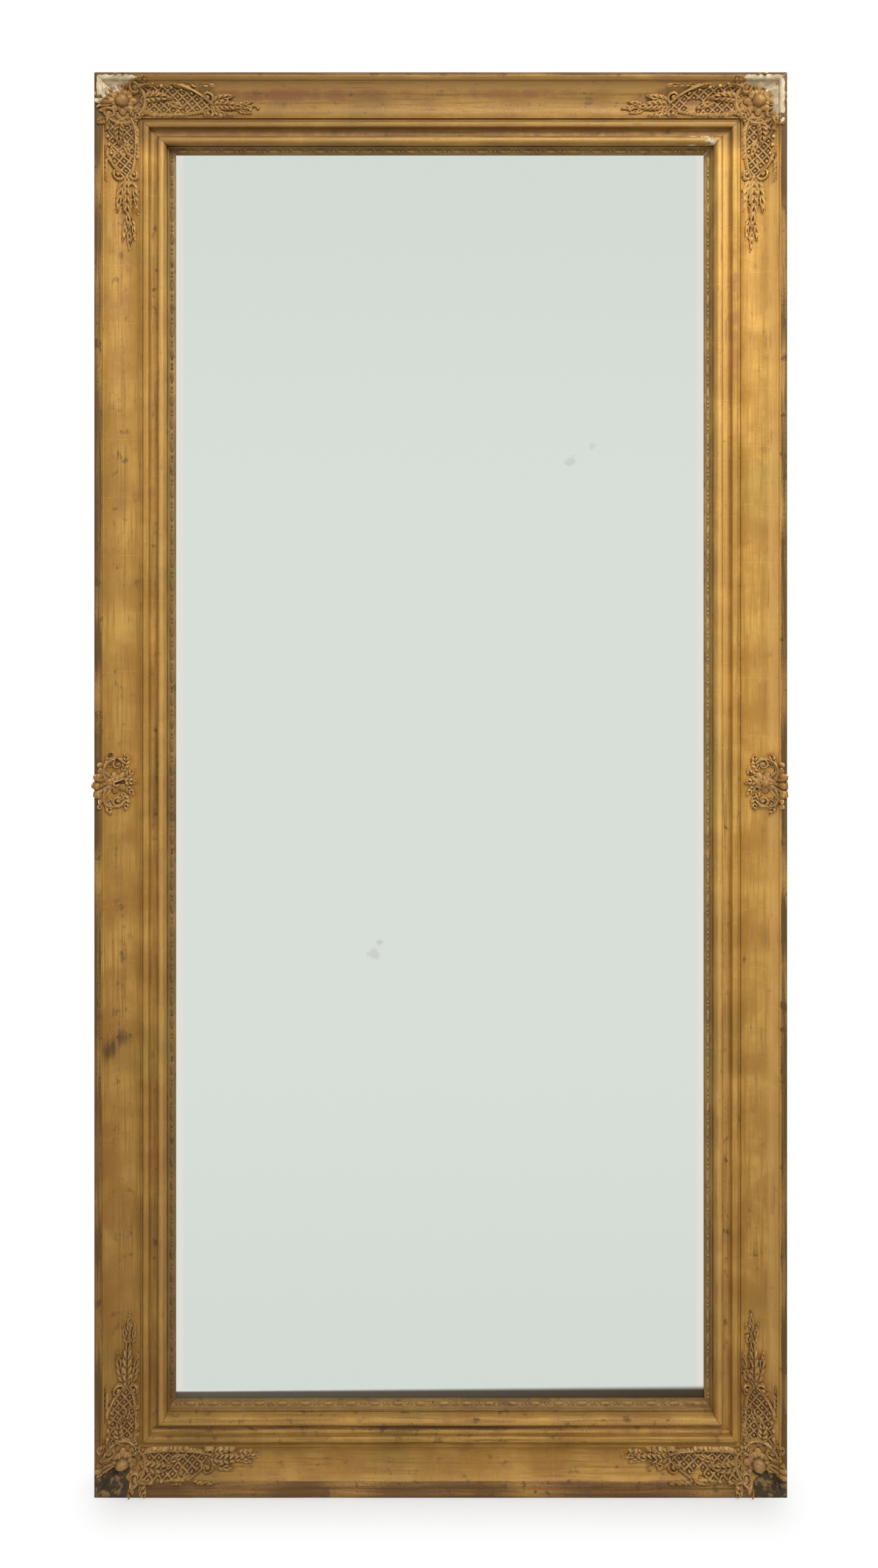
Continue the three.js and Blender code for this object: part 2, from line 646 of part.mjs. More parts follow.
// The ring: a straight bar through the knuckle and a half circle that hangs from it.
function hangingRing() {
  const path = new THREE.Path();
  path.moveTo(0, 0);
  path.lineTo(ringHalfWidth - ringBend, 0);
  path.absarc(ringHalfWidth - ringBend, -ringBend, ringBend, Math.PI / 2, 0, true);
  path.lineTo(ringHalfWidth, -ringLeg);
  path.absarc(0, -ringLeg, ringHalfWidth, 0, -Math.PI, true);
  path.lineTo(-ringHalfWidth, -ringBend);
  path.absarc(ringBend - ringHalfWidth, -ringBend, ringBend, Math.PI, Math.PI / 2, true);
  path.lineTo(0, 0);
  const line = path.getPoints(5).filter((point, i, all) => i === 0 || point.distanceTo(all[i - 1]) > 0.01);
  if (line[0].distanceTo(line[line.length - 1]) < 0.01) line.pop();
  const wireSides = 6;
  const rings = line.map((point, i) => {
    const before = line[(i + line.length - 1) % line.length];
    const after = line[(i + 1) % line.length];
    const along = after.clone().sub(before).normalize();
    return Array.from({ length: wireSides }, (_, side) => {
      const angle = ((side + 0.5) * 2 * Math.PI) / wireSides;
      const off = wireRadius * Math.cos(angle);
      const rise = wireRadius * Math.sin(angle);
      return new THREE.Vector3(point.x - along.y * off, rise, point.y + along.x * off);
    });
  });
  return loft(rings, true);
}

for (const [hand, out] of [["left", -1], ["right", 1]]) {
  const hanger = new THREE.Group();
  hanger.position.set(out * hangerX, 0, hangerHeight);
  mirror.add(hanger);
  add(hanger, "hanger_strap_" + hand, strap(), iron());
  add(hanger, "hanging_ring_" + hand, hangingRing(), iron()).position.y = axisY;
  screwHoles.forEach((height, i) => {
    const mesh = add(hanger, "hanger_screw_" + hand + "_" + (i === 0 ? "upper" : "lower"), screw(), iron());
    mesh.position.set(0, strapBack, height - hangerHeight);
  });
}

export default mirror;
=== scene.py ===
# %% [markdown]
# # A giltwood pier mirror
# A pier mirror hung between two tall windows. This one is pine, coated with gesso and gold leaf, with
# pressed composition ornament in its cove. The solids come packed as a frame; this script dresses them: it
# models the mouldings and the ornament finely, gives every piece its finish, and sets a plain studio round
# it.

# %% Load the frame
import functools
import math

import bmesh
import bpy
import numpy as np
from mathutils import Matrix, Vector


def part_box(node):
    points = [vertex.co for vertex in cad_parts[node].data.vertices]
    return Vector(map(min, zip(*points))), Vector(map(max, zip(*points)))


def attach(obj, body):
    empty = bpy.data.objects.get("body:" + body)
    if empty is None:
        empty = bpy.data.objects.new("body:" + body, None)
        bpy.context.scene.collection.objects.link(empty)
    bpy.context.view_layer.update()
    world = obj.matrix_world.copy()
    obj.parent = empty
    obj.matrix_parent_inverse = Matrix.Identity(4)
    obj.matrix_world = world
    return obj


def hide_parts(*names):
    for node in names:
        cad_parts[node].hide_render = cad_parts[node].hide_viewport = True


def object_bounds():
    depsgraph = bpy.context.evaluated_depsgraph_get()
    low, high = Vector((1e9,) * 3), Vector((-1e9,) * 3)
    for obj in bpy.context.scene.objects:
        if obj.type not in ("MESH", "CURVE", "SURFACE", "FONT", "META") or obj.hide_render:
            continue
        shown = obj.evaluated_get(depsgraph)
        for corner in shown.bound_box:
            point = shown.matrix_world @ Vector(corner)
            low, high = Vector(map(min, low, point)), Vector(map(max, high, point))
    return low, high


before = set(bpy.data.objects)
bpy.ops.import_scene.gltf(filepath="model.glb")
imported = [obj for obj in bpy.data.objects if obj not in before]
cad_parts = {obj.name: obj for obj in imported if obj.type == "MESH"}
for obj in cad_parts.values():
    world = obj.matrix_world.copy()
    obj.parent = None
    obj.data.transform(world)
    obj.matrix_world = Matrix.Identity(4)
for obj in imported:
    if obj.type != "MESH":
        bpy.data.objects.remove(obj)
cad_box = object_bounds()
MM = 0.001

# %% [markdown]
# Every place below follows from the frame: the sight edge (where plate and slip meet), the plane behind the
# mouldings, and the outer edge. Heights are measured forwards from that plane, widths outwards from the
# sight edge.

# %% Places read from the frame
SIGHT_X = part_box("sight_slip_right")[0][0]
SIGHT_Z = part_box("sight_slip_top")[0][2]
BACK_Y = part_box("cove_moulding_top_rail")[1][1]
HALF_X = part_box("cove_moulding_right_stile")[1][0]
HALF_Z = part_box("cove_moulding_top_rail")[1][2]
FRONT_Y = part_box("cove_moulding_top_rail")[0][1]
FLOOR_Z = cad_box[0][2]
print("sight edge", round(SIGHT_X, 4), round(SIGHT_Z, 4), "front of the lip", round(FRONT_Y, 4))

# %% [markdown]
# ## Camera
# The photograph looks straight at the mirror. Its stiles stay upright, so the lens is shifted and not
# tilted: the camera stays level and the picture's middle drops to the mirror's middle. The bottom rail
# looks wider than the top one, which puts the photographer's camera about 1.56 m up. This one stands a
# little lower, at about 1.4 m, so that the shift stays small and every other view keeps the whole mirror in
# the frame.

# %% Camera
PICTURE = (1443, 2576)  # pixels
MIRROR_TOP, MIRROR_LEFT, MIRROR_RIGHT = 117, 153.5, 1295.5  # pixels, at the lip
LENS_SHIFT = 0.22  # share of the picture's height that the lens is shifted
CAMERA_DISTANCE = 1.694  # metres from the lip
CAMERA_X = -0.044
SENSOR = 36.0

pixels_per_metre = (MIRROR_RIGHT - MIRROR_LEFT) / (2 * HALF_X)
horizon = PICTURE[1] * (0.5 - LENS_SHIFT)
camera_z = HALF_Z - (horizon - MIRROR_TOP) / pixels_per_metre
lens = bpy.data.cameras.new("studio_lens")
lens.sensor_fit = "VERTICAL"
lens.sensor_height = SENSOR
lens.lens = SENSOR * CAMERA_DISTANCE * pixels_per_metre / PICTURE[1]
lens.shift_y = -LENS_SHIFT
lens.shift_x = (PICTURE[0] / 2 - (MIRROR_LEFT + MIRROR_RIGHT) / 2 - CAMERA_X * pixels_per_metre) / PICTURE[1]
camera = bpy.data.objects.new("studio_camera", lens)
bpy.context.scene.collection.objects.link(camera)
camera.location = (CAMERA_X, FRONT_Y - CAMERA_DISTANCE, camera_z)
camera.rotation_euler = (math.pi / 2, 0, 0)
bpy.context.scene.camera = camera
print("lens", round(lens.lens, 1), "mm, camera height over the floor", round(camera_z - FLOOR_Z, 3))

# %% [markdown]
# ## Small helpers
# One function turns a hex colour into the linear numbers that shaders use, and one adds a node with its
# settings and links. A finish is a material's tree with short names for the nodes that it is mixed from.
# The mesh helper takes plain arrays, because the mouldings and the ornament are worked out as arrays.

# %% Colour, node and mesh helpers
def ink(text):
    """The linear colour of an sRGB hex value."""
    shares = [int(text[i : i + 2], 16) / 255 for i in (1, 3, 5)]
    return [s / 12.92 if s <= 0.04045 else ((s + 0.055) / 1.055) ** 2.4 for s in shares] + [1.0]


def add(tree, kind, inputs=None, **settings):
    """A new node of a tree. An input's value is a number, a colour or another node's output."""
    made = tree.nodes.new(kind)
    for name, value in settings.items():
        setattr(made, name, value)
    for name, value in (inputs or {}).items():
        if isinstance(value, bpy.types.NodeSocket):
            tree.links.new(value, made.inputs[name])
        else:
            made.inputs[name].default_value = value
    return made


def math_of(tree, operation, a, b=0.0, clamp=False):
    """One sum of two values."""
    return add(tree, "ShaderNodeMath", {0: a, 1: b}, operation=operation, use_clamp=clamp).outputs[0]


def span_of(tree, value, low, high, start=0.0, end=1.0, shape="SMOOTHSTEP"):
    """How far a value has come from low to high, given as a number from start to end."""
    given = {"Value": value, "From Min": low, "From Max": high, "To Min": start, "To Max": end}
    return add(tree, "ShaderNodeMapRange", given, interpolation_type=shape).outputs["Result"]


class Finish:
    """A material, with short names for the nodes that its finish is mixed from."""

    def __init__(self, name):
        self.material = bpy.data.materials.new(name)
        self.material.use_nodes = True
        self.tree = self.material.node_tree
        self.tree.nodes.clear()
        self.place = self.get("ShaderNodeTexCoord", "Object")
        self.math = functools.partial(math_of, self.tree)
        self.span = functools.partial(span_of, self.tree)
        self.even = functools.partial(span_of, self.tree, shape="LINEAR")

    def get(self, kind, socket, inputs=None, **settings):
        """One output of a new node."""
        return add(self.tree, kind, inputs, **settings).outputs[socket]

    def read(self, name, socket="Fac"):
        """What the mesh says under a name."""
        return self.get("ShaderNodeAttribute", socket, attribute_name=name, attribute_type="GEOMETRY")

    def noise(self, vector, scale, detail, rough=0.5, **more):
        """Noise; scale is how many of its features fit in a metre."""
        return self.get("ShaderNodeTexNoise", "Fac", {"Vector": vector, "Scale": scale, "Detail": detail,
                        "Roughness": rough, **more})

    def layer(self, share, under, over):
        """One colour laid over another by a share; a colour is a hex value or what another node gives."""
        under, over = (ink(colour) if isinstance(colour, str) else colour for colour in (under, over))
        return self.get("ShaderNodeMix", "Result", {"Factor": share, "A": under, "B": over}, data_type="RGBA")

    def bump(self, height, strength, distance):
        """The normal of a surface raised by height; distance is in metres."""
        raised = {"Height": height, "Strength": strength, "Distance": distance}
        return self.get("ShaderNodeBump", "Normal", raised)

    def end(self, surface):
        """The material, ended by its surface."""
        add(self.tree, "ShaderNodeOutputMaterial", {"Surface": surface})
        return self.material

    def shade(self, colour, metal, rough, **more):
        """The material, ended by a plain surface of this colour."""
        surface = {"Base Color": colour, "Metallic": metal, "Roughness": rough, **more}
        return self.end(self.get("ShaderNodeBsdfPrincipled", "BSDF", surface))


def show(name, mesh):
    """An object at the origin for a mesh whose place is in its vertices."""
    piece = bpy.data.objects.new(name, mesh)
    bpy.context.scene.collection.objects.link(piece)
    return piece


def frozen(draft):
    """The mesh that an object's modifiers or its curve give. The object itself goes."""
    bpy.context.view_layer.update()
    mesh = bpy.data.meshes.new_from_object(draft.evaluated_get(bpy.context.evaluated_depsgraph_get()))
    bpy.data.objects.remove(draft)
    return mesh


def smoothed(mesh, sharp=None):
    """Shades a mesh smoothly, all but the edges that bend by more than sharp degrees."""
    mesh.polygons.foreach_set("use_smooth", np.ones(len(mesh.polygons), dtype=bool))
    if sharp:
        mesh.set_sharp_from_angle(angle=math.radians(sharp))


def mesh_of(name, points, faces, grain, wear, rubbed, sharp=40):
    """A mesh from arrays: grain is metres along and across it, wear and rubbed the shares of its state,
    painted light and shade among them.
    """
    mesh = bpy.data.meshes.new(name)
    mesh.from_pydata(points.tolist(), [], faces)
    layer = mesh.uv_layers.new(name="grain")
    corners = np.empty(len(mesh.loops), dtype=np.int32)
    mesh.loops.foreach_get("vertex_index", corners)
    layer.uv.foreach_set("vector", grain[corners].astype(np.float32).ravel())
    colour = mesh.color_attributes.new("wear", "FLOAT_COLOR", "POINT")
    colour.data.foreach_set("color", wear.astype(np.float32).ravel())
    share = mesh.attributes.new("rubbed", "FLOAT", "POINT")
    share.data.foreach_set("value", rubbed.astype(np.float32).ravel())
    smoothed(mesh, sharp)
    return mesh


def wander(x, y, size, seed):
    """Smooth random values from -1 to 1 that change over about size, the same on every run."""
    table = np.random.default_rng(seed).uniform(-1, 1, (64, 64))
    x, y = x / size, y / size
    i, j = np.floor(x).astype(int), np.floor(y).astype(int)
    fx, fy = x - i, y - j
    fx, fy = fx * fx * (3 - 2 * fx), fy * fy * (3 - 2 * fy)
    pick = lambda a, b: table[a % 64, b % 64]
    low = pick(i, j) * (1 - fx) + pick(i + 1, j) * fx
    high = pick(i, j + 1) * (1 - fx) + pick(i + 1, j + 1) * fx
    return low * (1 - fy) + high * fy


def ramp(value, low, high):
    """0 below low, 1 above high and smooth between; it falls where low is above high."""
    share = np.clip((value - low) / (high - low), 0, 1)
    return share * share * (3 - 2 * share)

# %% [markdown]
# ## Gilding
# Water gilding is beaten gold over a reddish clay called bole, over white gesso. Age rubs the gold off the
# high lines so that the bole shows, dust settles in the hollows, and where a piece has come off the gesso
# or the bare wood is left. So the finish is a stack of layers, and the wear layer of each mesh
# says where each one shows: red for dust and painted shade, green for bared gesso, blue for bared wood, and
# alpha for high lines that are burnished and painted lighter as highlights. A second layer, rubbed, is the
# share of gold worn down to the bole. The streaks run along each length, so they are read from the grain
# coordinates, in metres.

# %% Water gilding
LEAF = 0.076  # metres from one leaf of gold to the next


def gilding(name, leaf, deep, bole, dust, dust_share, metallic, soot=0.54, burnished="#ECC07A"):
    """Worn gilding: dust_share is how far dust spreads, metallic how bright the gold is, soot how much
    painted shade darkens the top rail.
    """
    gild = Finish(name)
    span, layer, place = gild.span, gild.layer, gild.place
    grain = gild.get("ShaderNodeUVMap", "UV", uv_map="grain")
    burnish_and_highlight_lines = gild.read("wear", "Alpha")
    state = add(gild.tree, "ShaderNodeSeparateColor", {"Color": gild.read("wear", "Color")}).outputs
    worn = gild.read("rubbed")

    def noise(vector, scale, detail=3.0, rough=0.55):
        return gild.noise(vector, scale, detail, rough)

    def share_of(operation, a, b):
        return gild.math(operation, a, b, clamp=True)

    stretched = gild.get("ShaderNodeMapping", "Vector", {"Vector": grain, "Scale": (9, 260, 1)})
    streaks = noise(stretched, 1.0, 4.0)  # strokes about 110 mm long and 4 mm wide
    blotches = noise(place, 17.0, 4.0)  # patches about 60 mm across
    flecks = noise(place, 420.0, 3.0, 0.65)  # rubbed spots about 2.4 mm across
    sheets = gild.get("ShaderNodeTexVoronoi", "Color", {"Vector": place, "Scale": 12.5}, feature="F1")
    sheet_tone = gild.get("ShaderNodeSeparateColor", "Red", {"Color": sheets})  # leaves of about 80 mm
    turn = gild.math("MODULO", gild.get("ShaderNodeSeparateXYZ", "X", {0: grain}), LEAF)
    laps = span(turn, 0.0012, 0.0002, 0.0, 0.45)  # where one leaf of gold overlaps the next

    gold = layer(span(blotches, 0.3, 0.7), deep, leaf)
    gold = layer(span(streaks, 0.54, 0.38, 0.0, 0.7), gold, deep)
    gold = layer(span(sheet_tone, 0.2, 1.0, 0.0, 0.3), gold, deep)
    gold = layer(span(noise(place, 9.0, 2.0), 0.5, 0.72, 0.0, 0.35), gold, "#8E7C36")  # a tired, olive tone
    gold = layer(share_of("MULTIPLY", laps, span(flecks, 0.4, 0.6)), gold, burnished)
    # painted highlights along the high lines, mixed with their burnish
    gold = layer(span(burnish_and_highlight_lines, 0.1, 1.0, 0.0, 0.8), gold, burnished)
    rubbed = share_of("MULTIPLY", span(streaks, 0.50, 0.72), span(blotches, 0.62, 0.40))
    rubbed = share_of("MAXIMUM", share_of("MULTIPLY", rubbed, 0.6), span(flecks, 0.66, 0.76, 0.0, 0.6))
    thin = share_of("ADD", worn, span(noise(place, 60.0, 5.0), 0.3, 0.7, -0.3, 0.3))
    thin = share_of("MULTIPLY", span(thin, 0.25, 0.8), share_of("MINIMUM", worn, 0.85))
    rubbed = share_of("MAXIMUM", rubbed, thin)
    gold = layer(rubbed, gold, bole)
    # the red of the wear layer is dust and painted shade; random dust is added to it
    held = share_of("ADD", state["Red"], span(flecks, 0.45, 0.75, 0.0, 0.2))
    held = share_of("ADD", held, span(streaks, 0.58, 0.40, -0.12, dust_share))
    held = share_of("ADD", held, span(noise(place, 75.0, 4.0), 0.56, 0.7, 0.0, 0.35))  # spots of about 13 mm
    dust_and_shade_share = span(held, 0.18, 1.0, 0.0, 0.95)
    gold = layer(dust_and_shade_share, gold, dust)
    spot = add(gild.tree, "ShaderNodeSeparateXYZ", {0: place}).outputs
    gold = layer(span(spot["Z"], 0.1, -1.0, 0.0, 0.34), gold, "#623E12")  # dirt and painted shade, both thicker low down
    gold = layer(span(spot["Z"], 0.815, 0.85, 0.0, soot), gold, "#5E4222")  # painted shade across the top rail
    gold = layer(span(spot["X"], 0.1, -0.42, 0.0, 0.2), gold, "#62421A")  # darker towards the left side
    broken = share_of("ADD", state["Green"], span(noise(place, 90.0, 5.0), 0.3, 0.7, -0.35, 0.35))
    bared = span(broken, 0.44, 0.58)
    grimed = span(noise(place, 110.0, 4.0), 0.42, 0.62, 0.0, 0.6)
    gesso = layer(grimed, "#D2C1A3", "#9C8662")
    gold = layer(bared, gold, gesso)
    wooden = share_of("ADD", state["Blue"], span(noise(place, 120.0, 4.0), 0.3, 0.7, -0.25, 0.25))
    wooden = span(wooden, 0.42, 0.6)
    wood = layer(span(noise(place, 150.0, 4.0), 0.5, 0.64, 0.0, 0.7), "#40341F", "#8C7044")
    gold = layer(wooden, gold, wood)

    lost = share_of("MAXIMUM", bared, wooden)
    metal = share_of("SUBTRACT", metallic, share_of("MULTIPLY", rubbed, 0.4))
    metal = share_of("SUBTRACT", metal, share_of("MULTIPLY", dust_and_shade_share, 0.5))
    metal = share_of("SUBTRACT", metal, lost)
    rough = span(blotches, 0.3, 0.7, 0.5, 0.62)
    rough = share_of("ADD", rough, share_of("MULTIPLY", share_of("MAXIMUM", dust_and_shade_share, rubbed), 0.25))
    rough = share_of("ADD", rough, share_of("MULTIPLY", lost, 0.4))

    cracks = gild.get("ShaderNodeTexVoronoi", "Distance", {"Vector": place, "Scale": 95.0},
                      feature="DISTANCE_TO_EDGE")
    cracks = span(cracks, 0.0, 0.035, 0.35, 1.0)  # fine gesso cracks about 10 mm apart
    surface = share_of("MULTIPLY", cracks, span(flecks, 0.2, 0.8, 0.55, 1.0))
    surface = share_of("SUBTRACT", surface, share_of("MULTIPLY", lost, 0.3))
    return gild.shade(gold, metal, rough, Normal=gild.bump(surface, 0.35, 0.0006))


gilt = gilding("worn_water_gilding", "#D6A955", "#B08234", "#9A5A3E", "#553A16", 0.10, 0.33,
               burnished="#EFBF6E")
ornament_gilt = gilding("worn_gilding_on_composition", "#D0A65E", "#AA7E40", "#8F5A42", "#3C2408", 0.10,
                        0.36, soot=0.3)
slip_gilt = gilding("toned_gilding_of_the_slip", "#B48F50", "#8A6A38", "#74492E", "#5A4320", 0.15, 0.25)
print("finishes", [m.name for m in (gilt, ornament_gilt, slip_gilt)])

# %% [markdown]
# ## Silvered plate, pine and iron
# The plate is silvered glass: almost all of what the eye gets is the reflection, so it is a smooth metal
# with the faint grey-green of old glass, a pale glow painted along its rim, a dark line painted along its
# bottom edge as the mirrored shade of the slip, and a few foxing spots. The carcass and boards are bare
# pine, brown with age; its rings are drawn as stretched noise along each board. The hangers are forged iron.

# %% Silvering, timber and iron
FOXING = (  # metres: place across and up on the plate, and reach; then the share of silver lost
    (0.173, 0.418, 0.006, 0.22),
    (0.202, 0.439, 0.004, 0.16),
    (-0.081, -0.221, 0.004, 0.26),
    (-0.088, -0.236, 0.007, 0.2),
)
RIM = (0.0125, 0.007, 0.0, 0.6)  # metres in from the edge where the painted glow fades in, and its share there


def silvering():
    """Old silvered plate: faintly grey-green, with a painted glow along its edge and a dark line painted at
    its foot.
    """
    plate = Finish("silvered_plate_glass")
    place, times = plate.place, functools.partial(plate.math, "MULTIPLY")
    axes = add(plate.tree, "ShaderNodeSeparateXYZ", {0: place}).outputs
    cells = add(plate.tree, "ShaderNodeTexVoronoi", {"Vector": place, "Scale": 8.0}, feature="F1").outputs
    wobble = plate.noise(place, 160.0, 4.0)
    spot = plate.even(times(cells["Distance"], wobble), 0.018, 0.006, 0.0, 0.7)
    chosen = plate.get("ShaderNodeSeparateColor", "Green", {"Color": cells["Color"]})
    foxed = times(spot, plate.math("GREATER_THAN", chosen, 0.86))  # a few random spots
    for x, z, reach, share in FOXING:
        off = plate.get("ShaderNodeVectorMath", 0, {0: place, 1: (x, 0.0, z)}, operation="SUBTRACT")
        off = plate.get("ShaderNodeVectorMath", 0, {0: off, 1: (1.0, 0.0, 1.0)}, operation="MULTIPLY")
        off = plate.get("ShaderNodeVectorMath", "Value", {0: off}, operation="LENGTH")
        mark = plate.span(times(off, wobble), 0.7 * reach, 0.3 * reach, 0.0, share)
        foxed = plate.math("MAXIMUM", foxed, mark)

    def leaning(at_left, at_right):
        """A value that changes evenly from the plate's left edge to its right edge."""
        return plate.even(axes["X"], -SIGHT_X, SIGHT_X, at_left, at_right)

    rising = plate.math("ADD", axes["Z"], SIGHT_Z)
    inwards = plate.math("SUBTRACT", SIGHT_X, plate.math("ABSOLUTE", axes["X"]))
    # a pale glow painted along the plate's edge
    painted_edge_glow = plate.span(plate.math("MINIMUM", inwards, rising), *RIM)
    # a dark line painted along the bottom edge, the slip's shade as the mirror would show it, taller and
    # darker at the right
    painted_dark_edge = plate.span(rising, leaning(0.0085, 0.017), leaning(0.006, 0.009), 0.0, leaning(0.9, 1.0))
    ends = plate.span(plate.math("ABSOLUTE", axes["Z"]), 0.35, 0.85, 0.0, 0.35)
    # The room that it mirrors is dimmer high up and low down, so the clear glass is as well.
    tint = plate.layer(ends, "#F1F8F1", "#E3EBE3")
    tint = plate.layer(foxed, tint, "#A9A794")
    tint = plate.layer(painted_edge_glow, tint, "#FFFBF0")
    tint = plate.layer(painted_dark_edge, tint, "#3C3222")
    silver = plate.even(painted_dark_edge, 0.0, 1.0, 1.0, 0.0)
    return plate.shade(tint, silver, plate.even(plate.math("MAXIMUM", foxed, painted_dark_edge), 0.0, 1.0, 0.02, 0.4))


def timber(name, light, dark, stretch, ring_mm):
    """Bare softwood; stretch is how much finer its grain is along X, Y and Z."""
    wood = Finish(name)
    number = wood.read("board")  # each board has its own place in the noise, and its own tone
    place = wood.get("ShaderNodeVectorMath", 0, {0: wood.place, 1: number}, operation="ADD")
    along = wood.get("ShaderNodeMapping", "Vector", {"Vector": place, "Scale": stretch})
    rings = wood.noise(along, 1000.0 / (ring_mm * 4), 5.0, 0.6, Distortion=0.4)
    share = wood.even(wood.math("MULTIPLY", rings, wood.noise(along, 5.0, 3.0)), 0.14, 0.36)
    own = wood.get("ShaderNodeTexWhiteNoise", "Value", {"W": number}, noise_dimensions="1D")
    colour = wood.layer(share, dark, light)
    colour = wood.layer(wood.even(wood.noise(place, 6.0, 5.0), 0.45, 0.7, 0.0, 0.45), colour, "#3B2B1E")
    colour = wood.layer(wood.even(own, 0.0, 1.0, 0.0, 0.45), colour, dark)
    return wood.shade(colour, 0.0, 0.82, Normal=wood.bump(rings, 0.4, 0.0008))


def forged_iron():
    """Dark forged iron with a bloom of rust."""
    forged = Finish("forged_iron")
    bloom = forged.noise(forged.place, 240.0, 5.0)
    rust = forged.even(bloom, 0.5, 0.7)
    metal, rough = forged.even(rust, 0.0, 1.0, 0.85, 0.2), forged.even(rust, 0.0, 1.0, 0.45, 0.85)
    colour = forged.layer(rust, "#4A4642", "#6A4028")
    return forged.shade(colour, metal, rough, Normal=forged.bump(bloom, 0.4, 0.0004))


plate_glass = silvering()
stile_pine = timber("pine_along_the_stiles", "#B08B5E", "#80603C", (40, 40, 1.5), 3.0)
rail_pine = timber("pine_along_the_rails", "#B08B5E", "#80603C", (1.5, 40, 40), 3.0)
board_pine = timber("aged_pine_of_the_boards", "#A9845A", "#6F5335", (1.2, 30, 30), 4.0)
iron = forged_iron()

FINISH_OF = {  # the start of a node's name, and its finish
    "mirror_plate": plate_glass,
    "carcass_stile": stile_pine,
    "carcass_rail": rail_pine,
    "backboard": board_pine,
    "plate_block": board_pine,
    "hang": iron,
}
for name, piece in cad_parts.items():
    for start, finish in FINISH_OF.items():
        if name.startswith(start):
            piece.data.materials.clear()
            piece.data.materials.append(finish)

# %% [markdown]
# ## The mouldings
# Each of the three mouldings is one outline run round the plate and mitred at the corners. A joiner planes
# the length first and cuts the mitres after, and so does this: the mesh is a straight grid, the outline
# across and many stations along, and a Geometry Nodes tree cuts the mitres, by stretching every line to
# where it meets the next rail, then sinks the face here and there by a fraction of a millimetre, as
# hand-laid gesso is. One tree with named sizes makes all twelve lengths.

# %% The mouldings' outlines, in millimetres across and forwards
def arc(across, forward, radius, start, end, steps):
    """Points on an arc, angles in radians."""
    turn = np.linspace(start, end, steps + 1)
    return [(across + radius * math.cos(a), forward + radius * math.sin(a)) for a in turn]


FLAT = 158  # degrees: an outline's corner that is flatter than this is a step of an arc


def softened(points, radius, high=math.inf, high_radius=0.0):
    """A closed outline, its hard corners rounded as gesso rounds them; those above high get high_radius."""
    made = []
    points = np.array(points)
    for i, here in enumerate(points):
        before, after = points[i - 1] - here, points[(i + 1) % len(points)] - here
        reach_before, reach_after = np.linalg.norm(before), np.linalg.norm(after)
        bend = math.degrees(math.acos(np.clip(before @ after / (reach_before * reach_after), -1, 1)))
        if bend > FLAT or here[1] <= 0:
            made.append(here)
            continue
        rounding = high_radius if here[1] > high else radius
        start = here + before / reach_before * min(rounding, reach_before * 0.45)
        end = here + after / reach_after * min(rounding, reach_after * 0.45)
        for k in np.linspace(0, 1, 5):
            made.append((1 - k) ** 2 * start + 2 * k * (1 - k) * here + k * k * end)
    return np.array(made)


# Widths, runs and centres are across; tops and floors are forwards from the plane behind the mouldings.
GAP = 0.3  # between neighbours
SLIP_WIDTH, SLIP_EDGE, SLIP_TOP, SLIP_FLAT = 9, 3, 13, 1.6
BEAD_RADIUS, BEAD_CENTRE = 5.45, 22
HOLLOW_RADIUS, HOLLOW_FLOOR = 5, 20
FILLET_WIDTH, FILLET_TOP = 8, 31
QUIRK_WIDTH, QUIRK_FLOOR = 3.5, 26.5
COVE_INNER_RUN, COVE_INNER_TOP = 14, 30.5
COVE_OUTER_RUN, COVE_OUTER_TOP, COVE_FLOOR = 31, 40, 25.5
LIP_RADIUS, LIP_CENTRE = 5.25, 41.75
SIDE_STEP, SIDE_STEP_TOP = 2, 30

inner_start = SLIP_WIDTH + GAP
hollow_start = inner_start + 2 * BEAD_RADIUS
fillet_start = hollow_start + 2 * HOLLOW_RADIUS
inner_end = fillet_start + FILLET_WIDTH
cove_start = inner_end + GAP
cove_inner_edge = cove_start + QUIRK_WIDTH
cove_lowest = cove_inner_edge + COVE_INNER_RUN
cove_outer_edge = cove_lowest + COVE_OUTER_RUN
moulding_width = cove_outer_edge + 1 + 2 * LIP_RADIUS
lip_middle = moulding_width - LIP_RADIUS

arc_radius = lambda run, rise: (run * run + rise * rise) / (2 * rise)
inner_arc = arc_radius(COVE_INNER_RUN, COVE_INNER_TOP - COVE_FLOOR)
outer_arc = arc_radius(COVE_OUTER_RUN, COVE_OUTER_TOP - COVE_FLOOR)
inner_sweep = math.asin(COVE_INNER_RUN / inner_arc)
outer_sweep = math.asin(COVE_OUTER_RUN / outer_arc)
inner_length = inner_arc * inner_sweep
cove_girth = inner_length + outer_arc * outer_sweep

sweep = np.linspace(0, 1, 9)
slip_bend = [(SLIP_WIDTH - SLIP_FLAT) * (1 - k * k) for k in sweep]
slip_rise = [SLIP_TOP * (1 - k) ** 2 + 2 * k * (1 - k) * (SLIP_EDGE + 1) + SLIP_EDGE * k * k for k in sweep]
slip_outline = softened([(0, 0), (SLIP_WIDTH, 0), (SLIP_WIDTH, SLIP_TOP), *zip(slip_bend, slip_rise)], 0.6)
inner_outline = softened(
    [(inner_start, 0), (inner_end, 0), (inner_end, FILLET_TOP), (fillet_start, FILLET_TOP)]
    + arc(fillet_start - HOLLOW_RADIUS, HOLLOW_FLOOR + HOLLOW_RADIUS, HOLLOW_RADIUS, 0, -math.pi / 2, 8)
    + arc(inner_start + BEAD_RADIUS, BEAD_CENTRE, BEAD_RADIUS,
          math.asin((HOLLOW_FLOOR - BEAD_CENTRE) / BEAD_RADIUS), math.pi, 20), 0.8, FILLET_TOP - 1, 3.0)
side_u = moulding_width - SIDE_STEP
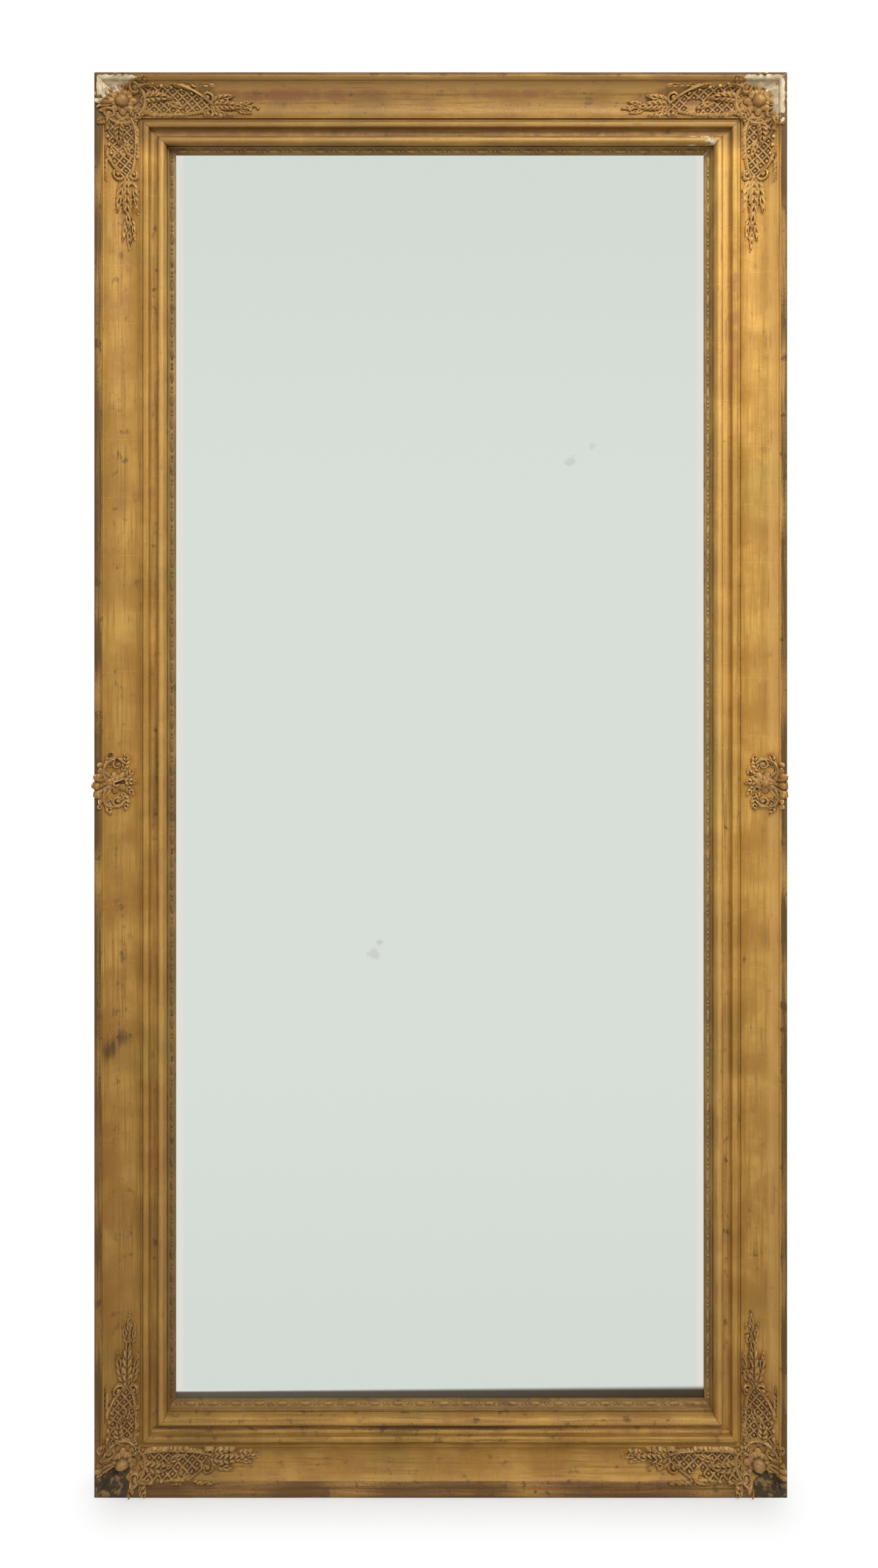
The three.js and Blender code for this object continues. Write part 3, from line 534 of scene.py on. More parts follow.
cove_outline = softened(
    [(cove_start, 0), (side_u, 0), (side_u, SIDE_STEP_TOP), (moulding_width, SIDE_STEP_TOP + 2 * SIDE_STEP)]
    + arc(lip_middle, LIP_CENTRE, LIP_RADIUS, 0, math.pi, 16)
    + [(lip_middle - LIP_RADIUS, COVE_OUTER_TOP)]
    + arc(cove_lowest, COVE_FLOOR + outer_arc, outer_arc, outer_sweep - math.pi / 2, -math.pi / 2, 22)
    + arc(cove_lowest, COVE_FLOOR + inner_arc, inner_arc, -math.pi / 2, -inner_sweep - math.pi / 2, 8)[1:]
    + [(cove_inner_edge, QUIRK_FLOOR), (cove_start, QUIRK_FLOOR)], 0.8)
print("moulding width", moulding_width, "mm, cove girth", round(cove_girth, 1), "mm")
print("outline points", len(slip_outline), len(inner_outline), len(cove_outline))

# %% The tree that mitres a straight length
def new_tree(name, numbers):
    """A Geometry Nodes tree that takes a geometry, numbers and a finish, with what it is given as sockets."""
    tree = bpy.data.node_groups.new(name, "GeometryNodeTree")
    sockets = [("Geometry", "Geometry"), *((number, "Float") for number in numbers), ("Finish", "Material")]
    for label, kind in sockets:
        tree.interface.new_socket(label, in_out="INPUT", socket_type="NodeSocket" + kind)
    tree.interface.new_socket("Geometry", in_out="OUTPUT", socket_type="NodeSocketGeometry")
    return tree, tree.nodes.new("NodeGroupInput").outputs


def vector_of(tree, x=0.0, y=0.0, z=0.0):
    """A vector of three values."""
    return add(tree, "ShaderNodeCombineXYZ", {"X": x, "Y": y, "Z": z}).outputs[0]


def moved(tree, geometry, **how):
    """A geometry that is turned, stretched or shifted."""
    return add(tree, "GeometryNodeTransform", {"Geometry": geometry, **how}).outputs[0]


def end_tree(tree, geometry, finish):
    """The tree, ended by its geometry, made real and given its finish."""
    real = add(tree, "GeometryNodeRealizeInstances", {"Geometry": geometry})
    done = add(tree, "GeometryNodeSetMaterial", {"Geometry": real.outputs[0], "Material": finish})
    add(tree, "NodeGroupOutput", {0: done.outputs[0]})
    return tree


def mitre_tree():
    """Geometry Nodes: x is -1 to 1 along, y forwards and z across, in; a mitred length in its place, out."""
    sizes = ("Half length", "Half width", "Back", "Ease", "Turn", "Unevenness", "Seed")
    tree, given = new_tree("mitred_length", sizes)
    sum_of, vector = functools.partial(math_of, tree), functools.partial(vector_of, tree)
    place = add(tree, "GeometryNodeInputPosition").outputs[0]
    axes = add(tree, "ShaderNodeSeparateXYZ", {0: place}).outputs
    reach = sum_of("SUBTRACT", sum_of("ADD", given["Half length"], axes["Z"]), given["Ease"])
    along = sum_of("MULTIPLY", axes["X"], reach)
    where = vector(sum_of("ADD", along, given["Seed"]), 0.0, axes["Z"])
    rolling = add(tree, "ShaderNodeTexNoise", {"Vector": where, "Scale": 14.0, "Detail": 2.0})
    dent = sum_of("MULTIPLY", rolling.outputs["Fac"], given["Unevenness"])
    raised = sum_of("GREATER_THAN", axes["Y"], 0.001)  # the back stays true
    depth = sum_of("SUBTRACT", axes["Y"], sum_of("MULTIPLY", dent, raised))
    across = sum_of("ADD", given["Half width"], axes["Z"])
    put = vector(along, sum_of("SUBTRACT", given["Back"], depth), across)
    cut = add(tree, "GeometryNodeSetPosition", {"Geometry": given["Geometry"], "Position": put})
    turned = moved(tree, cut.outputs[0], Rotation=vector(y=given["Turn"]))
    return end_tree(tree, turned, given["Finish"])


def grown(name, base, tree, sizes):
    """Runs a Geometry Nodes tree on a base object and returns the result as a plain piece."""
    modifier = base.modifiers.new("grow", "NODES")
    modifier.node_group = tree
    for item in tree.interface.items_tree:
        if item.in_out == "INPUT" and item.name in sizes:
            modifier[item.identifier] = sizes[item.name]
    solid = frozen(base)
    solid.name = name
    return show(name, solid)


mitre = mitre_tree()

# %% [markdown]
# The state of each length is painted on its points before the mitres are cut. Dust lies in the quirk;
# dust and painted shade lie in the hollow, on the worn lip and under the bead, and painted highlights run
# along the bead, the fillet's edge and the cove's outer shoulder. Close to the two upper corners the
# ornament that ran over the edge has broken away and left white gesso, and at the two lower corners the
# wood itself is bare and dark.

# %% Straight lengths, their wear and their painted light
STATION = 5.0  # mm between stations along a length
UNEVENNESS = 0.0007  # metres that the gesso sinks at most
SIDES = {  # turn about Y, half length at the sight edge, and half width to it
    "top": (0.0, SIGHT_X, SIGHT_Z),
    "right": (math.pi / 2, SIGHT_Z, SIGHT_X),
    "bottom": (math.pi, SIGHT_X, SIGHT_Z),
    "left": (-math.pi / 2, SIGHT_Z, SIGHT_X),
}
CORNER_AT = {  # the corner at the low and at the high end of each length, as the turn leaves them
    "top": ("top_left", "top_right"),
    "right": ("top_right", "bottom_right"),
    "bottom": ("bottom_right", "bottom_left"),
    "left": ("bottom_left", "top_left"),
}
BROKEN = {  # mm lost at each corner: along a rail, along a stile, and how far in from the outer edge
    "top_left": (58, 40, 20), "top_right": (64, 70, 22),
    "bottom_left": (44, 31, 0), "bottom_right": (44, 27, 0),
}
LIP_DIRT_AND_SHADE = {"top": 6.5, "right": 10.5, "bottom": 17, "left": 11.5}  # mm of dirt and painted shade in from the outer edge
MIDDLE_DARKENING = {"top": 0.3, "right": 0.0, "bottom": 0.25, "left": 0.3}  # share of darkening on the middle of the cove
SHOULDER = {"top": 0.9, "right": 0.6, "bottom": 0.0, "left": 0.1}  # share of painted highlight on the cove's outer shoulder
UNDER_BEAD = {"top": 0.0, "right": 0.1, "bottom": 0.6, "left": 0.4}  # share of dirt and painted shade between bead and slip
BOLE_IN_HOLLOW = {"top": 0.55, "right": 0.0, "bottom": 0.55, "left": 0.35}  # share between bead and fillet
STRIP_DIRT = {"top": 0.0, "right": 0.2, "bottom": 0.38, "left": 0.65}  # share on the olives and pearls
RUBBED = (  # mm: side, place along it, place across, reach along, reach across, share of bole laid bare
    ("top", -367, 68, 42, 11, 1.0), ("top", 300, 70, 60, 10, 0.75), ("top", -160, 72, 150, 8, 0.7),
    ("top", 80, 74, 130, 7, 0.55), ("left", 700, 60, 110, 12, 0.45), ("right", -620, 34, 130, 7, 0.5),
    ("bottom", 40, 66, 240, 12, 0.4), ("left", -180, 66, 170, 10, 0.35), ("right", 420, 58, 150, 10, 0.35),
)
STAINS = (  # mm: side, place along it, place across, reach along, reach across, share
    ("left", -336, 66, 15, 12, 0.9), ("left", -348, 79, 18, 12, 0.95), ("right", 233, 46, 6, 4, 0.8),
    ("left", 260, 47, 9, 5, 0.6), ("left", -560, 60, 60, 14, 0.3), ("right", 610, 60, 50, 12, 0.25),
    ("top", -60, 72, 150, 9, 0.35),
)


def loss_at(corner, on_rail, near, u, wider=0.0):
    """Share of the surface lost at u mm out from the sight edge and near mm from the outer corner."""
    along_rail, along_stile, inwards = BROKEN[corner]
    inwards = inwards + wider
    edge = moulding_width - u
    if corner.startswith("top"):
        length = along_rail if on_rail else along_stile
        inwards = inwards * (1 - 0.4 * np.clip(near / length, 0, 1))
        broken = ramp(near, length + 10, length - 22) * ramp(edge, inwards + 4, inwards - 5)
        return broken * ramp(edge, 2.5, 5.5)
    length, depth = (along_rail, along_stile) if on_rail else (along_stile, along_rail)
    return ramp(near, length + 4, length - 4) * ramp(edge, depth + 3, depth - 3)


def marked(table, side, along, u, power):
    """The strongest share that a table of marks gives each point; power is how sharply a mark ends."""
    strongest = np.zeros_like(u)
    for where, at, across, reach, wide, share in table:
        if where == side:
            mark = np.exp(-((along - at) / reach) ** power - ((u - across) / wide) ** power)
            strongest = np.maximum(strongest, share * mark)
    return strongest


def length_wear_and_light(side, outline, u, v, girth, along, half_length):
    """Dust and painted shade, gesso, wood, and burnish and painted highlight shares of a length's points, and
    the share rubbed down to the bole.
    """
    dust, rubbed = marked(STAINS, side, along, u, 2), marked(RUBBED, side, along, u, 4)
    gesso, wood = np.zeros_like(u), np.zeros_like(u)
    on_rail = side in ("top", "bottom")
    outer = half_length / MM + moulding_width
    for corner, near in zip(CORNER_AT[side], (outer + along, outer - along)):
        share = loss_at(corner, on_rail, near, u, 5.0) * (0.85 + 0.3 * wander(near, u, 8, 3 + on_rail))
        if corner.startswith("top"):
            gesso = np.maximum(gesso, share)
        else:
            wood = np.maximum(wood, share)
    if side == "top":  # a chip in the bead near the right corner
        near = outer - along
        gesso = np.maximum(gesso, 0.45 * ramp(abs(near - 106), 26, 16) * ramp(abs(u - 15), 9, 4))
    # painted highlight along the bead's crest
    burnish_and_highlight = 0.5 * ramp(v, 26.2, 27.2) * (u < 20)
    if outline == "slip":
        # Dirt lies on the left and bottom slips and in their corner under the bead. The top and right slips
        # are kept clean, which paints them lighter where they lie in shade, and painted shade darkens every
        # slip's sight edge.
        dirt = 0.0 if side in ("top", "right") else 0.25
        settled_and_shaded = dirt + 0.3 * ramp(u, 1.2, 0.4) + dirt * ramp(u, 7, 8.4)
        burnish_and_highlight = 0 * u
    elif outline == "bead_and_fillet":  # the bole shows in the hollow between bead and fillet
        in_hollow = ramp(abs(u - 23), 6, 3)
        rubbed = np.maximum(rubbed, BOLE_IN_HOLLOW[side] * ramp(abs(u - 23.5), 5, 2.5))
        # dust and painted shade in the hollow, painted lighter down the right stile's upper half where the
        # light falls
        hollow_dust_and_shade = 0.35 + 0.3 * wander(along, 0 * u, 170, 31)
        hollow_dust_and_shade = hollow_dust_and_shade - 0.35 * ramp(along, 200, -200) if side == "right" else hollow_dust_and_shade
        settled_and_shaded = np.clip(hollow_dust_and_shade, 0, 1) * in_hollow + UNDER_BEAD[side] * ramp(v, 22.5, 18) * ramp(u, 14, 10)
        settled_and_shaded = settled_and_shaded + 0.4 * (side == "bottom")
        # painted highlights along the fillet's inner edge, and in the right stile's hollow where the light
        # falls
        burnish_and_highlight = burnish_and_highlight + 0.35 * ramp(abs(u - fillet_start - 0.6), 1.2, 0.4) * (v > 30)
        burnish_and_highlight = burnish_and_highlight + 0.5 * in_hollow * (side == "right")
    else:
        # dirt and painted shade over the outer part of the lip
        foot = moulding_width - LIP_DIRT_AND_SHADE[side]
        lip = 0.95 * ramp(u, foot, foot + 3)
        middle = MIDDLE_DARKENING[side] * ramp(abs(u - cove_lowest - 12), 14, 5)
        settled_and_shaded = 0.1 * ramp(u, cove_inner_edge + 0.5, cove_inner_edge - 1) + np.maximum(lip, middle)
        # painted highlight on the cove's outer shoulder, set for each side
        burnish_and_highlight = SHOULDER[side] * ramp(u, cove_outer_edge - 17, cove_outer_edge - 6)
        burnish_and_highlight = burnish_and_highlight * (u < cove_outer_edge + 3)
    under = ramp(v, SIDE_STEP_TOP + 6, SIDE_STEP_TOP) * ramp(u, moulding_width - 6, moulding_width - 3)
    patchy = 0.85 + 0.3 * wander(along, girth, 60, 5)
    dust = np.maximum(dust, np.maximum(settled_and_shaded * patchy, 0.5 * under))
    return np.clip(np.stack([dust, gesso, wood, burnish_and_highlight], axis=1), 0, 1), np.clip(rubbed, 0, 1)


def straight_length(name, side, outline, points_across, half_length, seed):
    """The base grid of a length: the outline across and a station every few millimetres along."""
    stations = int(2 * half_length / MM / STATION)
    k = np.linspace(-1, 1, stations + 1)
    count = len(points_across)
    u, v = np.tile(points_across[:, 0], len(k)), np.tile(points_across[:, 1], len(k))
    run = np.concatenate([[0], np.cumsum(np.linalg.norm(np.diff(points_across, axis=0), axis=1))])
    girth = np.tile(run, len(k))
    points = np.stack([np.repeat(k, count), v * MM, u * MM], axis=1)
    along = np.repeat(k, count) * (half_length / MM + u)
    grain = np.stack([(along + 1200) * MM + seed, girth * MM], axis=1)
    wear, rubbed = length_wear_and_light(side, outline, u, v, girth, along, half_length)
    faces = []
    for row in range(stations):
        low, high = row * count, (row + 1) * count
        for i in range(count):
            j = (i + 1) % count
            faces.append((low + i, low + j, high + j, high + i))
    faces.append(tuple(range(count))[::-1])
    faces.append(tuple(range(stations * count, (stations + 1) * count)))
    return show(name + "_base", mesh_of(name, points, faces, grain, wear, rubbed))


def moulding(kind, name_of, points_across, finish, seed):
    """Four mitred lengths of one moulding."""
    for number, (side, (turn, half_length, half_width)) in enumerate(SIDES.items()):
        base = straight_length(kind + "_" + side, side, kind, points_across, half_length, seed + number)
        piece = grown(kind + "_length_" + side, base, mitre, {
            "Half length": half_length, "Half width": half_width, "Back": BACK_Y, "Turn": turn,
            "Ease": GAP * MM / math.sqrt(2), "Unevenness": UNEVENNESS, "Seed": float(seed + number),
            "Finish": finish})
        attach(piece, "frame")
        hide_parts(name_of(side))
    print(kind, "faces each", len(piece.data.polygons))


member = {"top": "top_rail", "bottom": "bottom_rail", "left": "left_stile", "right": "right_stile"}
moulding("slip", lambda side: "sight_slip_" + side, slip_outline, slip_gilt, 11)
moulding("bead_and_fillet", lambda side: "inner_moulding_" + side, inner_outline, gilt, 23)
moulding("cove", lambda side: "cove_moulding_" + member[side], cove_outline, gilt, 37)

# %% [markdown]
# The slip carries a turned strip in its hollow: a long olive, then two pearls, every 30.6 mm. The
# photograph is too small to show the pieces, but along all four slips its brightness repeats at that step,
# a long light part and a short dark one. The strip repeats by the hundred, so a tree puts one unit on every
# point of a line.

# %% The strip of olives and pearls along the slips
UNIT = (  # radius, place along as a share of the step, stretch: the olive and its two pearls
    ("Olive radius", -0.16, 3.1), ("Pearl radius", 0.23, 1.15), ("Pearl radius", 0.40, 1.15),
)


def strip_tree():
    """Geometry Nodes: a row of half-sunk olives and pearls along one slip, turned to its side."""
    sizes = ("Length", "Step", "Olive radius", "Pearl radius", "Across", "Depth", "Turn", "Dirt")
    tree, given = new_tree("olive_and_pearl_strip", sizes)
    sum_of, vector = functools.partial(math_of, tree), functools.partial(vector_of, tree)

    unit = add(tree, "GeometryNodeJoinGeometry")
    for radius, along, stretch in UNIT:
        ball = add(tree, "GeometryNodeMeshUVSphere", {"Segments": 16, "Rings": 8, "Radius": given[radius]})
        lie = moved(tree, ball.outputs[0], Rotation=(0, math.pi / 2, 0))
        shift = vector(sum_of("MULTIPLY", given["Step"], along))
        turned = moved(tree, lie, Scale=(stretch, 1.0, 1.0), Translation=shift)
        tree.links.new(turned, unit.inputs[0])
    steps = sum_of("DIVIDE", given["Length"], given["Step"])
    start = vector(sum_of("MULTIPLY", given["Length"], -0.5), given["Depth"], given["Across"])
    row = add(tree, "GeometryNodeMeshLine", {"Count": sum_of("ADD", steps, 1.5), "Start Location": start,
              "Offset": vector(given["Step"])}, mode="OFFSET")
    laid = add(tree, "GeometryNodeInstanceOnPoints", {"Points": row.outputs[0], "Instance": unit.outputs[0]})
    swung = moved(tree, laid.outputs[0], Rotation=vector(y=given["Turn"]))
    real = add(tree, "GeometryNodeRealizeInstances", {"Geometry": swung})
    soft = add(tree, "GeometryNodeSetShadeSmooth", {"Geometry": real.outputs[0]})
    shares = {"Red": given["Dirt"], "Green": 0.0, "Blue": 0.0, "Alpha": 0.0}
    state = add(tree, "FunctionNodeCombineColor", shares)
    marked = add(tree, "GeometryNodeStoreNamedAttribute", {"Geometry": soft.outputs[0], "Name": "wear",
                 "Value": state.outputs[0]}, data_type="FLOAT_COLOR", domain="POINT")
    return end_tree(tree, marked.outputs[0], given["Finish"])


STRIP_STEP = 30.6  # mm from one olive to the next
OLIVE, PEARL = 2.6, 2.0  # mm: their radii
STRIP_PLACE = 4.4  # mm out from the sight edge, and as much forwards from the plane behind the mouldings
strip = strip_tree()
for side, (turn, half_length, half_width) in SIDES.items():
    units = int((2 * half_length / MM + 6) / STRIP_STEP)
    base = show("strip_base_" + side, bpy.data.meshes.new("strip_base"))
    piece = grown("olives_and_pearls_" + side, base, strip, {
        "Length": (units - 1) * STRIP_STEP * MM, "Step": STRIP_STEP * MM, "Olive radius": OLIVE * MM,
        "Pearl radius": PEARL * MM, "Across": half_width + STRIP_PLACE * MM, "Turn": turn,
        "Depth": BACK_Y - STRIP_PLACE * MM, "Dirt": STRIP_DIRT[side], "Finish": slip_gilt})
    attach(piece, "frame")
    print("strip", side, units, "units,", len(piece.data.polygons), "faces")

# %% [markdown]
# ## Pressed ornament
# Composition is a dough of chalk, glue and resin, pressed into a carved boxwood mould, trimmed and glued on
# warm. It has no undercuts, because it has to leave the mould. So each casting is a field of heights over a
# flat grid, and each motif, leaf, scroll, pearl or diaper, is a small function that raises the field. The
# grid is then laid into the cove, and cells where nothing is raised are left open, which trims the casting
# to its outline.

# %% Motifs that raise a field of heights, all in millimetres
def bend_through(*control):
    """Points along a Bezier curve of three or four control points."""
    k = np.linspace(0, 1, 48)[:, None]
    a = [np.array(point, dtype=float) for point in control]
    if len(a) == 3:
        return (1 - k) ** 2 * a[0] + 2 * k * (1 - k) * a[1] + k * k * a[2]
    return (1 - k) ** 3 * a[0] + 3 * k * (1 - k) ** 2 * a[1] + 3 * k * k * (1 - k) * a[2] + k**3 * a[3]


def beside(x, y, path):
    """Where each grid point lies along a path, 0 to 1, and how far to its left, in millimetres."""
    dx, dy = x[..., None] - path[:, 0], y[..., None] - path[:, 1]
    nearest = np.argmin(dx * dx + dy * dy, axis=-1)
    heading = np.gradient(path, axis=0)
    heading /= np.linalg.norm(heading, axis=1)[:, None]
    off_x = np.take_along_axis(dx, nearest[..., None], -1)[..., 0]
    off_y = np.take_along_axis(dy, nearest[..., None], -1)[..., 0]
    side = heading[nearest, 0] * off_y - heading[nearest, 1] * off_x
    ahead = heading[nearest, 0] * off_x + heading[nearest, 1] * off_y
    gaps = np.linalg.norm(np.diff(path, axis=0), axis=1).mean()
    k = (nearest + np.clip(ahead / gaps, -0.5, 0.5)) / (len(path) - 1)
    return k, np.where(np.abs(ahead) > gaps * 1.5, 1e3, side)  # a point past an end is off the path


def leaf(x, y, way, width, height, lobes=5):
    """An acanthus leaf: a lobed outline, a sunk midrib, veins to each lobe and a tip that curls up."""
    k, off = beside(x, y, bend_through(*way))
    k = np.clip(k, 0, 1)
    saw = (k * lobes) % 1
    edge = width / 2 * np.sin(np.pi * k**0.72) ** 0.75 * (1 - 0.26 * saw) + 0.01
    share = np.abs(off) / edge
    dome = np.sqrt(np.clip(1 - share**2, 0, 1))
    veins = 0.78 + 0.22 * np.cos(2 * np.pi * (lobes * k - 0.75 * share))
    rib = 1 - 0.35 * np.exp(-((off / 0.9) ** 2)) * (k < 0.9)
    curl = 0.35 * height * np.exp(-(((k - 0.86) / 0.09) ** 2))
    rise = height * (0.45 + 0.55 * np.sin(np.pi * k**1.2)) + curl
    return np.where(share < 1, rise * dome**0.6 * veins * rib, 0)


def scroll(x, y, path, start, end, height):
    """A tapering half-round band with a groove down each shoulder; start and end are its half widths."""
    k, off = beside(x, y, path)
    half = start + (end - start) * np.clip(k, 0, 1)
    share = np.abs(off) / half
    groove = 1 - 0.28 * np.exp(-(((share - 0.5) / 0.16) ** 2))
    band = height * np.sqrt(np.clip(1 - share**2, 0, 1)) * groove * (0.6 + 0.4 * half / start)
    return np.where(share < 1, band, 0)


def volute(centre, radius, start, turns):
    """The path of a spiral that winds in to its eye; turns is negative for a clockwise one."""
    k = np.linspace(0, 1, 60)
    angle = start + 2 * np.pi * turns * k
    reach = radius * (1 - 0.82 * k)
    return np.stack([centre[0] + reach * np.cos(angle), centre[1] + reach * np.sin(angle)], axis=1)


def pearl(x, y, centre, radius, sunk=0.25):
    """A ball sunk a little into its seat."""
    inside = radius**2 - (x - centre[0]) ** 2 - (y - centre[1]) ** 2
    return np.where(inside > 0, np.sqrt(np.clip(inside, 0, None)) + radius * (0.75 - sunk), 0)


def diaper(x, y, pitch, inside):
    """Crossed bars with a small boss in each lozenge, over a thin ground, where inside is true."""
    p, q = (x + y) / pitch, (x - y) / pitch
    bar = np.maximum(1 - np.abs((p % 1) - 0.5) * 2, 1 - np.abs((q % 1) - 0.5) * 2)
    dot = np.hypot((p % 1) * np.where(p % 1 > 0.5, 0, 1) + (p % 1 - 1) * (p % 1 > 0.5),
                   (q % 1) * np.where(q % 1 > 0.5, 0, 1) + (q % 1 - 1) * (q % 1 > 0.5))
    boss = np.sqrt(np.clip(1 - (dot / 0.2) ** 2, 0, 1))
    return np.where(inside, 0.5 + 1.7 * ramp(bar, 0.62, 0.86) + 1.5 * boss, 0)


def mixed(*fields):
    """The highest of several fields."""
    return np.maximum.reduce(fields)


# %% [markdown]
# A spray runs from the corner along each rail and each stile: two bordering scrolls with a diaper between
# them, leaves that break over the borders, and a long leaf with husks that trails off along the inner side
# of the cove. On the grid x is the way from the corner, and y the way across the cove from its inner edge.

# %% The sprays' fields
CELL = 0.8  # mm between grid points


def grid(x_from, x_to, y_from, y_to):
    """The points of a casting's grid."""
    return np.meshgrid(np.arange(x_from, x_to, CELL), np.arange(y_from, y_to, CELL), indexing="ij")


def spray_field(body, tip):
    """The grid and heights of a spray whose diaper ends at body and whose last leaf ends at tip."""
    x, flat_y = grid(-6, tip + 4, 0.6, cove_girth - 0.6)
    mid = cove_girth / 2
    y = flat_y + 10.5 * ramp(x, 25, body + 25)  # the trail bends to the inner side
    inside = np.abs(y - mid) < 20 * np.sqrt(np.clip(1 - ((x + 6) / (body + 8)) ** 2, 0, 1))
    at = lambda share: body * share
    trail = tip - body
    on = lambda share: body - 6 + (trail + 6) * share
    outer = bend_through((-4, 46), (at(0.25), 60), (at(0.65), 51), (body - 6, mid + 5))
    inner = bend_through((-4, 11), (at(0.25), -3), (at(0.65), 6), (body - 6, mid - 5))
    parts = [
        diaper(x, y, 12.5, inside),
        scroll(x, y, outer, 3.6, 2.4, 5.6),
        scroll(x, y, inner, 3.4, 2.2, 5.0),
        scroll(x, y, volute((body - 9, mid + 12), 8.5, -1.2, 1.1), 2.6, 1.6, 5.4),
        scroll(x, y, volute((body - 9, mid - 12), 8, 1.2, -1.1), 2.5, 1.5, 4.8),
        pearl(x, y, (body - 9, mid + 12), 3.2), pearl(x, y, (body - 9, mid - 12), 3.0),
        leaf(x, y, ((0, 44), (at(0.1), 56), (at(0.32), 57)), 14, 6.0),
        leaf(x, y, ((at(0.27), 51), (at(0.4), 61), (at(0.62), 55)), 14, 6.0),
        leaf(x, y, ((at(0.6), 49), (at(0.78), 57), (at(1.05), 55)), 13, 5.4),
        leaf(x, y, ((0, 13), (at(0.14), 2), (at(0.34), 3)), 11, 5.0),
        leaf(x, y, ((at(0.3), 7), (at(0.45), -1), (at(0.65), 6)), 11, 5.0),
        leaf(x, y, ((-5, mid), (at(0.16), mid + 9), (at(0.42), mid + 2)), 18, 7.6, 6),
        leaf(x, y, ((at(0.3), mid), (at(0.45), mid - 8), (at(0.62), mid - 9)), 11, 5.6, 4),
        leaf(x, y, ((on(0), mid), (on(0.3), mid + 7), (on(0.72), mid - 1)), 18, 7.6, 7),
        leaf(x, y, ((on(0), mid + 2), (on(0.2), mid + 15), (on(0.5), mid + 17)), 14, 6.2),
        leaf(x, y, ((on(0), mid - 2), (on(0.2), mid - 12), (on(0.5), mid - 13)), 13, 5.6),
        leaf(x, y, ((on(0.5), mid), (on(0.62), mid + 7), (on(0.86), mid + 9)), 10, 5.0, 4),
        leaf(x, y, ((on(0.5), mid), (on(0.62), mid - 7), (on(0.84), mid - 8)), 9, 4.8, 4),
        leaf(x, y, ((on(0.62), mid), (on(0.8), mid + 2), (on(0.98), mid - 1)), 9, 4.6, 4),
        pearl(x, y, (on(0.34), mid + 9), 2.8), pearl(x, y, (on(0.3), mid - 8), 2.6),
        pearl(x, y, (on(0.6), mid + 3), 2.4), pearl(x, y, (on(0.78), mid - 3), 2.0),
    ]
    for i in range(6):  # a string of pearls inside the outer border
        share = 0.12 + 0.14 * i
        parts.append(pearl(x, y, (at(share), mid + 20.5 - 17 * share**2.2), 3.1 - 0.18 * i))
    return x, flat_y, mixed(*parts)


rail_spray = spray_field(92, 154)  # mm from where the spray leaves the corner
stile_spray = spray_field(76, 173)
print("rail spray", rail_spray[2].shape, "stile spray", stile_spray[2].shape, "grid points")

# %% [markdown]
# The corner casting sits on the mitre: a rosette with a ball at its eye and two C-scrolls that gather the
# sprays. A ribbed shell once fanned out over the corner, and all four have broken off. Its grid is square
# to the frame, and both axes run outwards. The shell halfway up each stile still stands: ribs up, down and
# outwards round a flower, between two scrolls, with knobs that sit on the lip.

# %% The fields of the corner rosette and of the side shell
CORNER_FROM = 30.0  # mm out from the sight edge, where the corner's grid begins
BOSS = 64.5  # mm out from the sight edge to the middle of the rosette
FLOWER = 71.5  # mm out from the sight edge to the middle of a side shell's flower


def petals(reach, angle, count, radius, height, turn):
    """A ring of rounded petals with a crease down the middle of each."""
    wave = np.abs(np.cos(count / 2 * (angle - turn)))
    share = reach / (radius * (0.62 + 0.38 * wave**0.6))
    return np.where(share < 1, height * np.sqrt(np.clip(1 - share**2, 0, 1)) * (0.72 + 0.28 * wave), 0)


def rosette_field():
    """The grid and heights of a corner casting."""
    x, y = grid(CORNER_FROM, moulding_width - 2.5, CORNER_FROM, moulding_width - 2.5)
    reach, angle = np.hypot(x - BOSS, y - BOSS), np.arctan2(y - BOSS, x - BOSS)
    fan = np.abs(((angle - math.pi / 4 + math.pi) % (2 * math.pi)) - math.pi)
    ribs = np.abs(np.cos(10 * fan))
    inside = (fan < 1.25) & (reach < 33 * (0.84 + 0.16 * ribs))
    shell = np.where(inside, (2.4 + 4.4 * reach / 36) * (0.4 + 0.6 * ribs), 0)
    both = lambda make: mixed(make(x, y), make(y, x))
    return x, y, mixed(
        shell,
        petals(reach, angle, 8, 19.5, 5.6, 0.0),
        petals(reach, angle, 8, 15, 7.6, math.pi / 8),
        both(lambda a, b: scroll(a, b, bend_through((43, 47), (30, 58), (34, 80), (48, 86)), 3.6, 2.6, 5.8)),
        both(lambda a, b: scroll(a, b, volute((47, 80), 8, 1.6, -1.2), 2.8, 1.6, 5.6)),
        both(lambda a, b: pearl(a, b, (47, 80), 3.4)),
        both(lambda a, b: leaf(a, b, ((46, 52), (37, 47), (30, 52)), 13, 6.0)),
        both(lambda a, b: leaf(a, b, ((40, 84), (34, 90), (30, 93)), 12, 5.2, 4)),
        leaf(x, y, ((56, 56), (49, 49), (40, 40)), 15, 6.2),
        np.where(reach < 10.8, 2.2 + 0.2 * reach, 0),
        pearl(x, y, (BOSS, BOSS), 8.4, 0.1),
    )


